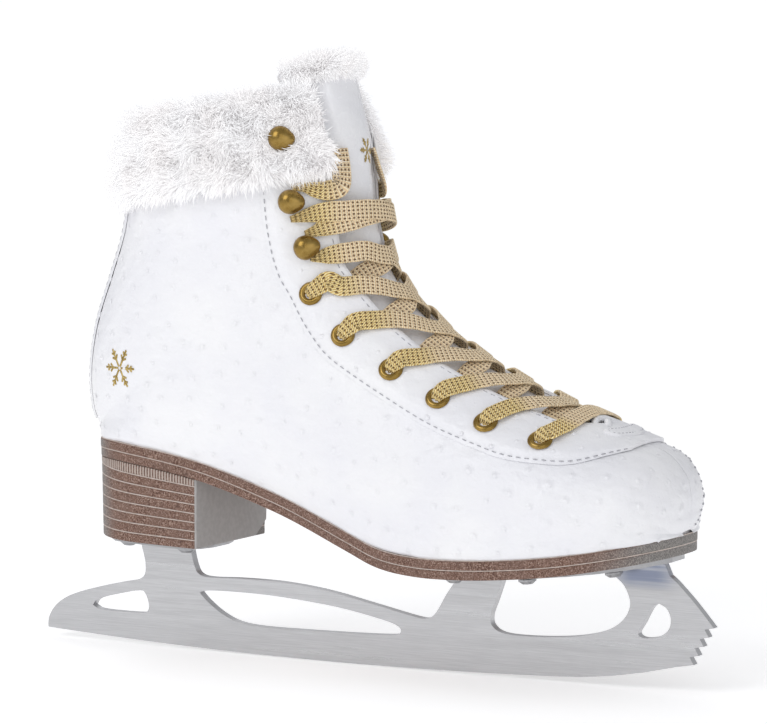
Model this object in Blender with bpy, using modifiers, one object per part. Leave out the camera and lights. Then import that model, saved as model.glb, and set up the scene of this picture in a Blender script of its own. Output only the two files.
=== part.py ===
"""A figure skate for the right foot: laced boot with a fur collar, stacked sole and heel, screwed-on blade.

Sizes are in millimetres and become metres when a mesh is made. The frame has +X towards the toe, +Y to the
wearer's left and +Z up. Its origin lies on the ice plane under the middle of the blade's length, in the blade's
mid-plane.
"""

import math

import bmesh
import bpy
from mathutils import Matrix, Vector

MM = 0.001

# ---- Driving dimensions --------------------------------------------------------------------------
BLADE_THICKNESS = 3.8
ROCKER_RADIUS = 2310.0  # about 7.5 feet, a usual figure blade
ROCKER_X = -16.5  # where the rocker touches the ice
BLADE_TAIL = -149.0
BLADE_TIP = 149.0
TOE_PICKS = 5

SOLE_HEEL = -117.3  # rearmost point of the sole's outline
SOLE_TOE = 136.0
LAYER = 3.6  # one layer of sole board
GAP = 0.3  # room left between pieces that rest on each other
SOLE_EDGE = 1.5  # how far the sole stands out past the leather
HEEL_BREAST = -61.0  # the heel's front face

LEATHER = 1.8
COUNTER = 1.2
LINING = 1.8
FACING = 1.4
FUR = 7.5
THROAT_HALF = 17.0  # half the gap between the two lacing edges
TOE_SWING = 4.5  # how far the toe leans towards the inner side

LACE_WIDTH = 7.6
LACE_THICKNESS = 1.2
EYELET_BORE = 2.2
EYELET_HOLE = 3.0
EYELET_FLANGE = 4.4
HOOK_DOME = 5.0
SCREW_SHANK = 1.7
SCREW_HOLE = 2.05
SCREW_HEAD = 3.5
PLATE = 2.0

# Colours: (base colour, roughness, metallic)
WHITE_LEATHER = ((0.88, 0.88, 0.90), 0.42, 0.0)
WHITE_FUR = ((0.93, 0.92, 0.92), 0.95, 0.0)
FLEECE = ((0.90, 0.89, 0.88), 0.95, 0.0)
SOLE_BOARD = ((0.36, 0.25, 0.21), 0.8, 0.0)
FIBRE_BOARD = ((0.55, 0.45, 0.34), 0.85, 0.0)
STEEL = ((0.66, 0.66, 0.67), 0.32, 1.0)
OLD_BRASS = ((0.45, 0.31, 0.10), 0.3, 1.0)
GOLD_LACE = ((0.83, 0.64, 0.36), 0.65, 0.0)

# ---- Side-view shape of the boot -----------------------------------------------------------------
# Where the leather meets the sole: x, z from heel to toe.
FEATHER = [
    (-117.3, 86.5), (-95.0, 86.0), (-60.0, 80.0), (-26.0, 69.4), (7.5, 57.2), (24.0, 51.6),
    (42.0, 49.8), (62.0, 50.2), (83.0, 51.8), (102.0, 54.0), (120.5, 57.0), (136.0, 59.9),
]
# Half the sole's breadth, before its two ends are rounded: x, half breadth.
BREADTH = [(-117.3, 29.5), (-88.0, 30.0), (-55.0, 28.6), (-22.0, 27.6), (12.0, 33.0), (45.0, 39.6),
           (70.0, 42.6), (95.0, 42.0), (136.0, 38.5)]
# The boot is lofted through stations from toe to top. Each is a chord across the side view, from the ridge line
# (x, z) to the base line (x, z), with the largest half breadth and the squareness of the ridge.
STATIONS = [
    (135.8, 61.2, 135.0, 60.3, 4.5, 2.2),
    (138.0, 67.0, 131.4, 59.5, 17.5, 2.3),
    (138.6, 74.0, 124.0, 57.9, 27.0, 2.4),
    (136.2, 83.0, 113.0, 55.9, 34.5, 2.4),
    (127.4, 90.2, 100.0, 54.0, 40.0, 2.4),
    (111.8, 96.0, 85.0, 52.2, 43.4, 2.3),
    (96.0, 101.8, 66.0, 50.7, 44.2, 2.2),
    (76.0, 109.8, 45.0, 50.1, 42.8, 2.1),
    (56.0, 119.6, 22.0, 52.5, 40.0, 2.0),
    (36.5, 131.2, 0.0, 60.2, 37.6, 2.0),
    (20.5, 144.4, -24.0, 69.0, 36.0, 2.0),
    (13.5, 153.0, -48.0, 77.0, 35.4, 2.0),
    (9.8, 160.0, -72.0, 82.8, 35.0, 2.0),
    (7.8, 165.5, -95.0, 86.3, 34.8, 2.0),
    (6.9, 169.4, -110.5, 86.9, 34.6, 2.0),
    (6.1, 173.2, -119.0, 91.5, 34.4, 2.0),
    (5.5, 176.5, -122.0, 101.0, 34.2, 2.0),
    (4.8, 180.0, -122.0, 115.0, 34.0, 2.0),
    (4.3, 183.5, -118.7, 132.0, 33.6, 2.0),
    (3.9, 187.0, -111.8, 151.0, 33.2, 2.0),
    (3.3, 191.0, -105.8, 168.0, 33.0, 2.0),
    (2.3, 196.0, -103.3, 181.0, 33.0, 2.0),
    (0.8, 203.0, -102.3, 190.0, 33.4, 2.0),
    (-2.0, 212.0, -101.8, 199.0, 34.0, 2.0),
    (-6.0, 221.0, -101.5, 207.0, 34.4, 2.0),
    (-9.6, 230.0, -101.4, 216.0, 34.6, 2.0),
    (-13.0, 239.0, -101.4, 225.0, 34.8, 2.0),
]
BACK_SQUARENESS = 2.3
THROAT_FRONT = 5.85  # station where the lacing gap starts
TONGUE_ROOT = 5.6
HEEL_STATION = 15.0  # from here up the sections close at the back
COLLAR_LOW = 21.0
BOOT_TOP = 24.0
TONGUE_TOP = 25.6
# The stitched outer edge of the facing in the side view, from the toe ridge to the collar: x, z.
FACING_SEAM = [
    (124.0, 93.2), (115.0, 90.8), (103.0, 87.6), (91.5, 87.6), (77.3, 89.0), (63.5, 92.8), (44.7, 99.2),
    (25.5, 108.6), (10.9, 116.6), (-0.7, 124.0), (-10.6, 134.5), (-18.4, 145.5), (-24.5, 156.5),
    (-28.2, 170.9), (-29.6, 186.6), (-31.0, 204.0), (-33.0, 226.0),
]
EYELETS = [(89.5, 94.5), (67.1, 100.4), (46.3, 108.8), (26.2, 119.1), (5.6, 131.4), (-9.5, 146.9)]
HOOKS = [(-12.7, 165.2), (-18.4, 183.5), (-22.2, 207.5)]


# ---- Curves --------------------------------------------------------------------------------------
def spline(points, t):
    """Catmull-Rom curve through points, at a place counted in points. It runs on straight past both ends."""
    last = len(points) - 1
    i = min(max(int(math.floor(t)), 0), last - 1)
    u = t - i
    if u < 0.0 or u > 1.0:
        a, b = points[i], points[i + 1]
        return tuple(p + (r - p) * u for p, r in zip(a, b))
    four = [points[min(max(k, 0), last)] for k in (i - 1, i, i + 1, i + 2)]
    return tuple(
        0.5 * (2 * b + (c - a) * u + (2 * a - 5 * b + 4 * c - d) * u**2 + (3 * b - a - 3 * c + d) * u**3)
        for a, b, c, d in zip(*four)
    )


def height(points, x):
    """The second value of a curve through points that run along x, at x."""
    low, high = 0.0, len(points) - 1.0
    for _ in range(30):
        middle = (low + high) / 2
        if spline(points, middle)[0] < x:
            low = middle
        else:
            high = middle
    return spline(points, low)[1]


def smooth(points, steps=3):
    """Points along the curve through points, steps to a span."""
    count = (len(points) - 1) * steps
    return [spline(points, i / steps) for i in range(count + 1)]


def spread(low, high, count):
    """count values from low to high."""
    return [low + (high - low) * i / (count - 1) for i in range(count)]


def ease(a, b, x):
    """0 before a, 1 after b, and a smooth rise between."""
    u = min(max((x - a) / (b - a), 0.0), 1.0)
    return u * u * (3 - 2 * u)


# ---- The sole's outline --------------------------------------------------------------------------
def swing(x):
    """Sideways lean of the foot's centre line, towards the inner side of the toe."""
    return TOE_SWING * ease(30.0, 150.0, x)


def half_breadth(x):
    """Half the sole's breadth at x, with both ends rounded off."""
    if x <= SOLE_HEEL or x >= SOLE_TOE:
        return 0.0
    wide = height(BREADTH, x)
    heel_round, toe_round = 29.0, 50.0
    if x < SOLE_HEEL + heel_round:
        wide *= (1 - ((SOLE_HEEL + heel_round - x) / heel_round) ** 2.1) ** (1 / 2.1)
    if x > SOLE_TOE - toe_round:
        wide *= (1 - ((x - SOLE_TOE + toe_round) / toe_round) ** 2.3) ** (1 / 2.3)
    return wide


def feather(x):
    return height(FEATHER, x)


# ---- The boot's form -----------------------------------------------------------------------------
def section(t):
    """The station at t: ridge point, base point, half breadths at its widest and at its base, squareness."""
    rx, rz, bx, bz, wide, square = spline(STATIONS, t)
    base = 0.0 if t >= HEEL_STATION else max(half_breadth(bx) - SOLE_EDGE, 0.0)
    return rx, rz, bx, bz, wide, min(base, wide), square


def end_angle(wide, base):
    return math.pi - math.asin((base / wide) ** (BACK_SQUARENESS / 2))


def form(t, q):
    """A point of the boot's form on its left half, unbent. q runs from the ridge, 0, to the base line, 1."""
    rx, rz, bx, bz, wide, base, square = section(t)
    last = end_angle(wide, base)

    def along(angle):
        power = 2 / (square if angle < math.pi / 2 else BACK_SQUARENESS)
        return 1 - math.copysign(abs(math.cos(angle)) ** power, math.cos(angle))

    angle = q * last
    power = 2 / (square if angle < math.pi / 2 else BACK_SQUARENESS)
    share = along(angle) / along(last)
    across = wide * max(math.sin(angle), 0.0) ** power
    return Vector((rx + (bx - rx) * share, across, rz + (bz - rz) * share))


def skin(t, q, side=1, out=0.0):
    """A point on the boot's form, out millimetres off its surface. side is 1 for left and -1 for right."""
    step = 0.004
    near = min(max(q, step), 1 - step)
    down = form(t, near + step) - form(t, near - step)
    back = form(t + 0.02, near) - form(t - 0.02, near)
    normal = down.cross(back)
    closed = t >= HEEL_STATION
    if q < step or (closed and q > 1 - step):
        normal.y = 0.0
    normal.normalize()
    point = form(t, q) + normal * out
    return Vector((point.x, side * point.y + swing(point.x), point.z))


def q_at_breadth(t, breadth):
    """How far round the section at t its half breadth reaches this value, counted from the ridge."""
    _, _, _, _, wide, base, square = section(t)
    return math.asin(min(breadth / wide, 1.0) ** (square / 2)) / end_angle(wide, base)


def q_at_share(t, share):
    """How far round the section at t this share of its chord is reached."""
    rx, rz, bx, bz, *_ = section(t)
    goal = Vector((bx - rx, bz - rz)).length * share
    low, high = 0.0, 1.0
    for _ in range(30):
        middle = (low + high) / 2
        point = form(t, middle)
        if math.hypot(point.x - rx, point.z - rz) < goal:
            low = middle
        else:
            high = middle
    return low


def q_at_curve(t, curve):
    """Where the section at t crosses a side-view curve, or 0 if it doesn't."""
    rx, rz, bx, bz, *_ = section(t)
    chord = Vector((bx - rx, bz - rz))
    line = smooth(curve, 4)
    for (ax, az), (cx, cz) in zip(line, line[1:]):
        step = Vector((cx - ax, cz - az))
        cross = chord.x * step.y - chord.y * step.x
        if abs(cross) < 1e-9:
            continue
        to_a = Vector((ax - rx, az - rz))
        share = (to_a.x * step.y - to_a.y * step.x) / cross
        along = (to_a.x * chord.y - to_a.y * chord.x) / cross
        if 0.0 <= along <= 1.0 and 0.0 < share < 1.0:
            return q_at_share(t, share)
    return 0.0


def locate(x, z):
    """(t, q) of the surface point seen at x, z in the side view."""
    low, high = THROAT_FRONT - 3, BOOT_TOP

    def turn(t):
        rx, rz, bx, bz, *_ = section(t)
        return (bx - rx) * (z - rz) - (bz - rz) * (x - rx)

    sign = turn(low) > 0
    for _ in range(40):
        middle = (low + high) / 2
        if (turn(middle) > 0) == sign:
            low = middle
        else:
            high = middle
    rx, rz, bx, bz, *_ = section(low)
    share = math.hypot(x - rx, z - rz) / math.hypot(bx - rx, bz - rz)
    return low, q_at_share(low, share)


def q_throat(t):
    """The lacing edge: on the ridge in front of the throat, and THROAT_HALF from it along the gap."""
    opening = THROAT_HALF * math.sqrt(ease(THROAT_FRONT - 0.35, THROAT_FRONT + 0.45, t))
    return q_at_breadth(t, opening)


def rest_frame(t, q, side, out=0.0):
    """A matrix at a place on the boot: its Z along the surface normal and its X roughly up the boot."""
    foot, head = skin(t, q, side, out), skin(t, q, side, out + 1.0)
    up = skin(t + 0.05, q, side, out) - foot
    z = (head - foot).normalized()
    x = (up - z * up.dot(z)).normalized()
    y = z.cross(x)
    turn = Matrix((x, y, z)).transposed().to_4x4()
    return Matrix.Translation(foot * MM) @ turn


# ---- Making objects ------------------------------------------------------------------------------
def clear_scene():
    for old in list(bpy.data.objects):
        bpy.data.objects.remove(old)
    skate = bpy.data.collections.new("figure_skate")
    cutters = bpy.data.collections.new("cutters")
    for collection in (skate, cutters):
        bpy.context.scene.collection.children.link(collection)
    return skate, cutters


SKATE, CUTTERS = clear_scene()


def material(name, look):
    found = bpy.data.materials.get(name)
    if found:
        return found
    colour, roughness, metallic = look
    made = bpy.data.materials.new(name)
    made.use_nodes = True
    shader = made.node_tree.nodes["Principled BSDF"]
    shader.inputs["Base Color"].default_value = (*colour, 1.0)
    shader.inputs["Roughness"].default_value = roughness
    shader.inputs["Metallic"].default_value = metallic
    return made


def add_object(name, data, look, matrix=None):
    made = bpy.data.objects.new(name, data)
    SKATE.objects.link(made)
    if matrix is not None:
        made.matrix_world = matrix
    if look is not None:
        data.materials.append(material(name, look))
    return made


def add_mesh(name, points, faces, look, matrix=None):
    """An object from points in millimetres."""
    mesh = bpy.data.meshes.new(name)
    mesh.from_pydata([Vector(p) * MM for p in points], [], faces)
    mesh.shade_smooth()
    mesh.set_sharp_from_angle(angle=math.radians(40))
    return add_object(name, mesh, look, matrix)


def shell(name, rows, columns, place, near, far, look, flip=False):
    """A sheet that follows a surface: place(row, column, out) gives a point, and it lies between two outs."""
    wide = len(columns)
    count = len(rows) * wide
    points = [place(r, c, out) for out in (near, far) for r in rows for c in columns]
    faces = []
    for i in range(len(rows) - 1):
        for j in range(wide - 1):
            a, b = i * wide + j, i * wide + j + 1
            c, d = b + wide, a + wide
            faces += [(a, b, c, d), (d + count, c + count, b + count, a + count)]
            rims = [(a, b, i == 0), (b, c, j == wide - 2), (c, d, i == len(rows) - 2), (d, a, j == 0)]
            faces += [(end, start, start + count, end + count) for start, end, on_rim in rims if on_rim]
    if flip:
        faces = [face[::-1] for face in faces]
    return add_mesh(name, points, faces, look)


def rings(name, loops, look, matrix=None):
    """A closed solid through a run of loops with the same number of points, with a flat face on each end."""
    count = len(loops[0])
    points = [p for loop in loops for p in loop]
    faces = [tuple(range(count))[::-1]]
    for i in range(len(loops) - 1):
        for j in range(count):
            a, b = i * count + j, i * count + (j + 1) % count
            faces.append((a, b, b + count, a + count))
    faces.append(tuple(range(len(points) - count, len(points))))
    return add_mesh(name, points, faces, look, matrix)


def outline(name, splines, thickness, look, matrix=None):
    """A flat sheet from closed outlines, of which the first is the border and the others are holes."""
    curve = bpy.data.curves.new(name, "CURVE")
    curve.dimensions = "2D"
    curve.fill_mode = "BOTH"
    curve.extrude = thickness / 2 * MM
    for points in splines:
        line = curve.splines.new("POLY")
        line.points.add(len(points) - 1)
        for knot, (x, y) in zip(line.points, points):
            knot.co = (x * MM, y * MM, 0.0, 1.0)
        line.use_cyclic_u = True
    return add_object(name, curve, look, matrix)


def lathe(name, profile, look, matrix, steps=12, ring=False):
    """A turned solid: profile points (radius, height) run down the outer side. A ring's profile is closed."""
    mesh = bpy.data.meshes.new(name)
    edges = [(i, i + 1) for i in range(len(profile) - 1)]
    if ring:
        edges.append((len(profile) - 1, 0))
    mesh.from_pydata([(r * MM, 0.0, h * MM) for r, h in profile], edges, [])
    made = add_object(name, mesh, look, matrix)
    turn = made.modifiers.new("turn", "SCREW")
    turn.steps = turn.render_steps = steps
    turn.use_merge_vertices = True
    turn.merge_threshold = 0.00001
    turn.use_smooth_shade = True
    return made


def cutter(name, places, radius, below, above):
    """One mesh of plain rods, each standing on a matrix, used to cut holes."""
    shape = bmesh.new()
    for place in places:
        reach = above + below
        centre = place @ Matrix.Translation((0.0, 0.0, (above - below) / 2 * MM))
        bmesh.ops.create_cone(
            shape, cap_ends=True, segments=14, radius1=radius * MM, radius2=radius * MM, depth=reach * MM,
            matrix=centre,
        )
    mesh = bpy.data.meshes.new(name)
    shape.to_mesh(mesh)
    shape.free()
    made = bpy.data.objects.new(name, mesh)
    CUTTERS.objects.link(made)
    made.hide_render = True
    made.display_type = "WIRE"
    return made


def cut(thing, tool):
    hole = thing.modifiers.new("cut_" + tool.name, "BOOLEAN")
    hole.operation = "DIFFERENCE"
    hole.solver = "EXACT"
    hole.object = tool


def join(thing, other):
    """Unites two solids into thing and removes the other."""
    union = thing.modifiers.new("join", "BOOLEAN")
    union.operation = "UNION"
    union.solver = "EXACT"
    union.object = other
    bpy.context.view_layer.update()
    graph = bpy.context.evaluated_depsgraph_get()
    whole = bpy.data.meshes.new_from_object(thing.evaluated_get(graph))
    thing.modifiers.remove(union)
    thing.data = whole
    bpy.data.objects.remove(other)
    return thing


SIDES = (("left", 1), ("right", -1))


# ---- Blade ---------------------------------------------------------------------------------------
def sole_bottom(x):
    return feather(x) - 2 * LAYER - 0.2


def heel_bottom(x):
    """The heel's underside, a little lower at the breast."""
    return 47.2 - 2.2 * (x - SOLE_HEEL) / (HEEL_BREAST - SOLE_HEEL)


def toe_plate_bottom(x):
    return sole_bottom(x) - GAP - PLATE


def heel_plate_bottom(x):
    return heel_bottom(x) - GAP - PLATE


def runner():
    """The lower edge: the rocker's arc, then a tighter rise towards the picks."""
    front_x, front_rise = 88.0, 0.0042
    points = []
    for x in spread(BLADE_TAIL, 134.5, 22):
        lift = (x - ROCKER_X) ** 2 / (2 * ROCKER_RADIUS)
        points.append((x, lift + front_rise * max(x - front_x, 0.0) ** 1.85))
    return points


def picks():
    """The saw teeth at the toe, from the lowest, longest one up."""
    low, high = Vector((141.0, 11.2)), Vector((BLADE_TIP, 25.7))
    points = []
    for i in range(TOE_PICKS):
        tip = low.lerp(high, i / (TOE_PICKS - 1))
        points.append((tip.x, tip.y))
        if i < TOE_PICKS - 1:
            points.append((tip.x - 1.75, tip.y + 2.9))
    return points


def build_blade():
    seat = GAP
    toe_front = [(BLADE_TIP, 25.7), (144.8, 30.6), (140.0, 35.9), (133.8, 42.0), (131.0, 44.2)]
    toe_top = [(x, toe_plate_bottom(x) - seat) for x in spread(129.0, 108.0, 5)]
    opening = [(108.6, 42.6), (112.6, 39.0), (114.9, 32.5), (112.2, 26.4), (105.5, 21.8), (94.0, 18.6),
               (78.0, 17.0), (63.0, 17.0), (57.2, 19.4), (56.2, 23.6), (58.6, 30.2), (61.4, 38.2)]
    front_top = [(61.8, toe_plate_bottom(61.8) - seat), (43.6, toe_plate_bottom(43.6) - seat)]
    arm = [(41.6, 37.0), (37.0, 30.6), (32.4, 23.0), (28.6, 20.6), (23.0, 20.8), (3.4, 24.6), (-16.0, 28.2),
           (-36.0, 30.2), (-56.0, 30.4), (-70.0, 29.9), (-75.6, 31.0), (-77.8, 34.6), (-79.2, 39.8)]
    heel_top = [(-80.0, heel_plate_bottom(-80.0) - seat), (-103.4, heel_plate_bottom(-103.4) - seat)]
    tail = [(-102.6, 40.0), (-101.2, 34.5), (-101.4, 29.3), (-104.6, 26.8), (-112.8, 25.0), (-123.1, 22.6),
            (-133.5, 19.6), (-140.6, 16.6), (-145.6, 12.8), (-148.4, 8.6), (BLADE_TAIL, 5.4)]
    border = runner() + picks() + smooth(toe_front, 2)[1:] + toe_top + smooth(opening, 5)
    border += front_top + smooth(arm, 5) + heel_top + smooth(tail, 5)
    rear_window = [(-126.8, 14.6), (-124.0, 17.4), (-113.0, 20.4), (-104.2, 22.2), (-101.4, 21.4), (-99.6, 17.0),
                   (-100.2, 14.0), (-103.2, 13.0), (-113.0, 12.8), (-123.0, 13.1)]
    middle_window = [(-75.2, 23.4), (-70.6, 24.5), (-55.0, 24.8), (-36.0, 24.2), (-11.2, 22.0), (8.3, 18.6),
                     (15.8, 16.4), (16.8, 14.0), (13.4, 12.8), (-1.4, 12.1), (-26.0, 11.6), (-46.0, 11.5),
                     (-57.2, 12.6), (-65.0, 15.6), (-71.6, 20.0)]
    toe_window = [(126.9, 33.4), (130.0, 31.6), (131.6, 27.6), (130.4, 23.4), (126.4, 20.8), (121.0, 19.8),
                  (118.2, 21.4), (120.6, 25.8), (123.9, 31.8)]
    windows = [smooth(w + w[:1], 4)[:-1] for w in (rear_window, middle_window, toe_window)]
    stand = Matrix.Rotation(math.pi / 2, 4, "X")
    outline("blade", [border, *windows], BLADE_THICKNESS, STEEL, stand)


def plate_breadth(x, low, high, wide, nose):
    """Half breadth of a sole plate that is widest at low and rounds off towards both ends."""
    middle, half = (low + high) / 2, (high - low) / 2
    rounding = (1 - min(abs(x - middle) / half, 1.0) ** 5) ** 0.4
    return (wide + (nose - wide) * (x - low) / (high - low)) * rounding


def slab(name, xs, half, top, bottom, look, shrink=1.0):
    """A sheet that follows curved top and bottom lines, with its edges half(x) off the foot's centre line."""
    loops = []
    for x in xs:
        wide, middle = half(x), swing(x)
        narrow = wide * shrink
        loops.append([
            (x, middle - wide, top(x)), (x, middle - narrow, bottom(x)),
            (x, middle + narrow, bottom(x)), (x, middle + wide, top(x)),
        ])
    return rings(name, loops, look)


def end_spread(low, high, count):
    """Values from low to high that crowd towards both ends, where outlines are round."""
    return [low + (high - low) * (1 - math.cos(math.pi * i / (count - 1))) / 2 for i in range(count)]


TOE_PLATE_X = (34.0, 132.0)
HEEL_PLATE_X = (-113.0, -66.0)
TOE_SCREWS = [(48.0, 17.0), (79.0, 18.5), (112.0, 14.0)]
HEEL_SCREWS = [(-103.0, 11.0), (-75.0, 12.5)]


def build_plates():
    low, high = TOE_PLATE_X
    toe = slab(
        "toe_plate", end_spread(low, high, 13), lambda x: max(plate_breadth(x, low, high, 24.0, 18.0), 6.0),
        lambda x: sole_bottom(x) - GAP, toe_plate_bottom, STEEL,
    )
    low_heel, high_heel = HEEL_PLATE_X
    heel = slab(
        "heel_plate", end_spread(low_heel, high_heel, 9),
        lambda x: max(plate_breadth(x, low_heel, high_heel, 18.0, 20.0), 6.0),
        lambda x: heel_bottom(x) - GAP, heel_plate_bottom, STEEL,
    )
    return toe, heel


def screw_places():
    """(name, matrix) for each screw, standing on its plate's underside and pointing up into the sole."""
    places = []
    for label, spots, low in (("toe", TOE_SCREWS, toe_plate_bottom), ("heel", HEEL_SCREWS, heel_plate_bottom)):
        for i, (x, y) in enumerate(spots, 1):
            slope = math.atan((low(x + 2) - low(x - 2)) / 4)
            for name, side in SIDES:
                spot = Vector((x, swing(x) + side * y, low(x)))
                turn = Matrix.Rotation(-slope, 4, "Y")
                places.append((f"{label}_screw_{i}_{name}", Matrix.Translation(spot * MM) @ turn))
    return places


def build_screws(toe_plate, heel_plate, layers):
    """Pan-head screws through the plates, with clearance holes through the sole layers or into the heel."""
    toe_length, heel_length = 8.0, 15.0
    places = screw_places()
    for name, place in places:
        length = toe_length if name.startswith("toe") else heel_length
        profile = [
            (0.0, length + 1.0), (SCREW_SHANK, length), (SCREW_SHANK, -GAP), (SCREW_HEAD, -GAP),
            (SCREW_HEAD, -1.0), (SCREW_HEAD * 0.6, -2.1), (0.0, -2.4),
        ]
        lathe(name, profile, STEEL, place)
    toes = [m for n, m in places if n.startswith("toe")]
    heels = [m for n, m in places if n.startswith("heel")]
    toe_tool = cutter("toe_screw_holes", toes, SCREW_HOLE, 1.0, toe_length + 1.6)
    heel_tool = cutter("heel_screw_holes", heels, SCREW_HOLE, 1.0, heel_length + 2.0)
    for thing in (toe_plate, layers["midsole"], layers["outsole"]):
        cut(thing, toe_tool)
    for thing in (heel_plate, layers["heel"]):
        cut(thing, heel_tool)


# ---- Sole, heel and insole -----------------------------------------------------------------------
def build_sole():
    xs = end_spread(SOLE_HEEL + 0.3, SOLE_TOE - 0.3, 27)
    midsole = slab(
        "midsole", xs, half_breadth, lambda x: feather(x) - GAP, lambda x: feather(x) - LAYER, SOLE_BOARD
    )
    outsole = slab(
        "outsole", xs, lambda x: half_breadth(x) - 0.4, lambda x: feather(x) - LAYER - GAP, sole_bottom,
        SOLE_BOARD,
    )
    heel_xs = [x for x in end_spread(SOLE_HEEL + 0.3, 2 * HEEL_BREAST - SOLE_HEEL, 17) if x < HEEL_BREAST - 1]
    heel = slab(
        "heel", heel_xs + [HEEL_BREAST], lambda x: half_breadth(x) - 0.8,
        lambda x: sole_bottom(x) - GAP, heel_bottom, SOLE_BOARD, shrink=0.93,
    )
    return {"midsole": midsole, "outsole": outsole, "heel": heel}


def build_insoles():
    """The board the upper is lasted on, and the soft footbed over it."""
    low, high = SOLE_HEEL + 14.5, SOLE_TOE - 9.0
    board, cushion = 2.4, 3.6

    def inner(inset):
        def half(x):
            stretched = SOLE_HEEL + (x - low) * (SOLE_TOE - SOLE_HEEL) / (high - low)
            return max(half_breadth(stretched) - inset, 1.0)
        return half

    inset = SOLE_EDGE + LEATHER + COUNTER + LINING + 4 * GAP
    xs = end_spread(low, high, 15)
    slab("insole_board", xs, inner(inset), lambda x: feather(x) + board, feather, FIBRE_BOARD)
    over = board + GAP
    slab(
        "footbed", xs, inner(inset + 1.5), lambda x: feather(x) + over + cushion, lambda x: feather(x) + over,
        FLEECE,
    )


# ---- Upper ---------------------------------------------------------------------------------------
# Every leather and lining uses these rows and columns, so that one layer's facets lie along its neighbour's.
ROWS = [
    0.0, 0.5, 1.0, 1.5, 2.0, 2.5, 3.0, 3.6, 4.1, 4.5, 4.75, 5.0, 5.5, 5.8, 6.1, 6.5, 7.2, 8.0, 9.0, 10.0,
    11.0, 12.0, 13.0, 13.7, 14.3, 14.8, 15.2, 15.8, 16.5, 17.5, 18.5, 19.5, 20.6, 22.0, 24.0,
]
COLUMNS = [0.0, 0.1, 0.2, 0.32, 0.45, 0.57, 0.68, 0.78, 0.86, 0.93, 1.0]
SEAM_HALF = 0.15


def rows_between(low, high):
    return [t for t in ROWS if low <= t <= high]


def clear_of_seam(point, side):
    """The point, moved out to its own side if it lies over the boot's middle line."""
    middle = swing(point.x)
    if side * (point.y - middle) < SEAM_HALF:
        point.y = middle + side * SEAM_HALF
    return point


def mirrored(depths):
    """Columns for both halves at once, from the right's deepest, as a negative number, to the left's."""
    return [-v for v in depths[:0:-1]] + list(depths)


def half_place(side, low_edge=q_throat):
    """Places grid points on one half of the boot, from its upper edge, 0, to the base line, 1."""

    def place(t, v, out):
        start = low_edge(t)
        return clear_of_seam(skin(t, start + (1 - start) * v, side, out), side)

    return place


def build_panels():
    panels = []
    for name, side in SIDES:
        place = half_place(side)
        panel = shell(f"{name}_side_panel", ROWS, COLUMNS, place, 0.0, -LEATHER, WHITE_LEATHER, side < 0)
        panels.append(panel)
    return panels


def lining_edge(t):
    return max(q_throat(t), q_at_breadth(t, (THROAT_HALF + 4.0) * ease(5.2, 6.1, t)))


def build_linings():
    near = -(LEATHER + COUNTER + 3 * GAP)
    for name, side in SIDES:
        place = half_place(side, lining_edge)
        rows = rows_between(1.0, 22.0)
        shell(f"{name}_lining", rows, COLUMNS[::2], place, near, near - LINING, FLEECE, side < 0)


def build_stiffeners():
    """The heel counter and the toe puff, which hold the boot's two ends in shape between leather and lining."""
    near, far = -(LEATHER + GAP), -(LEATHER + COUNTER)

    def round_back(t, v, out):
        start = q_throat(t)
        return skin(t, 1 - (1 - start) * abs(v), 1 if v >= 0 else -1, out)

    def over_toe(t, v, out):
        return skin(t, abs(v), 1 if v >= 0 else -1, out)

    depths = [1 - v for v in COLUMNS[:3:-1]]
    shell("heel_counter", rows_between(15.8, 18.5), mirrored(depths), round_back, near, far, FIBRE_BOARD, True)
    shell("toe_puff", rows_between(1.5, 3.6), mirrored(COLUMNS[:-1]), over_toe, near, far, FIBRE_BOARD)


def build_facings():
    facings = []
    rise = GAP + 0.1
    for name, side in SIDES:

        def place(t, v, out, side=side):
            low = q_throat(t)
            high = max(q_at_curve(t, FACING_SEAM), low + 0.04)
            return clear_of_seam(skin(t, low + (high - low) * v, side, out), side)

        facings.append(shell(
            f"{name}_facing", rows_between(4.5, 24.0), spread(0.0, 1.0, 8), place, rise + FACING, rise, WHITE_LEATHER,
            side < 0,
        ))
    return facings


def build_small_leather():
    """The stay over the back seam and the tab at the front of the throat."""

    def back_stay(t, v, out):
        half_wide = 11.0 + 6.0 * ease(15.0, 20.0, t)
        q = 1.0
        while v and form(t, q).y < half_wide * abs(v):
            q -= 0.004
        return skin(t, q, 1 if v >= 0 else -1, out)

    near = 2 * GAP
    rows, columns = rows_between(15.2, 24.0), spread(-1.0, 1.0, 7)
    shell("back_stay", rows, columns, back_stay, near + 1.2, near, WHITE_LEATHER, True)

    def tab(t, v, out):
        return skin(t, q_at_breadth(t, 6.5 * abs(v)), 1 if v >= 0 else -1, out)

    near = FACING + 3 * GAP
    shell("throat_tab", rows_between(5.0, 5.5), spread(-1.0, 1.0, 5), tab, near + 1.0, near, WHITE_LEATHER)


def collar_section():
    """The collar's section as (station, out) pairs: a thick band that rolls over the boot's top edge."""
    inner = FACING + 5 * GAP
    return [
        (COLLAR_LOW, inner), (COLLAR_LOW - 0.15, inner + FUR * 0.5), (COLLAR_LOW + 0.4, inner + FUR * 0.95),
        (22.2, inner + FUR), (23.8, inner + FUR), (24.75, inner + FUR * 0.6), (24.95, 1.0), (24.7, -4.6),
        (24.15, -4.8), (24.15, inner),
    ]


def build_collar(hooks):
    """The fur collar: one band from lacing edge to lacing edge round the back, open at the throat."""
    loops = []
    for v in spread(-1.0, 1.0, 31):
        side = 1 if v >= 0 else -1
        loop = []
        for t, out in collar_section():
            edge = q_at_breadth(t, THROAT_HALF + 0.5)
            loop.append(skin(t, 1 - (1 - edge) * abs(v), side, out))
        loops.append(loop)
    collar = rings("fur_collar", loops, WHITE_FUR)
    cut(collar, cutter("collar_hook_holes", hooks, HOOK_DOME + 0.8, 3.0, 14.0))


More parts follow.
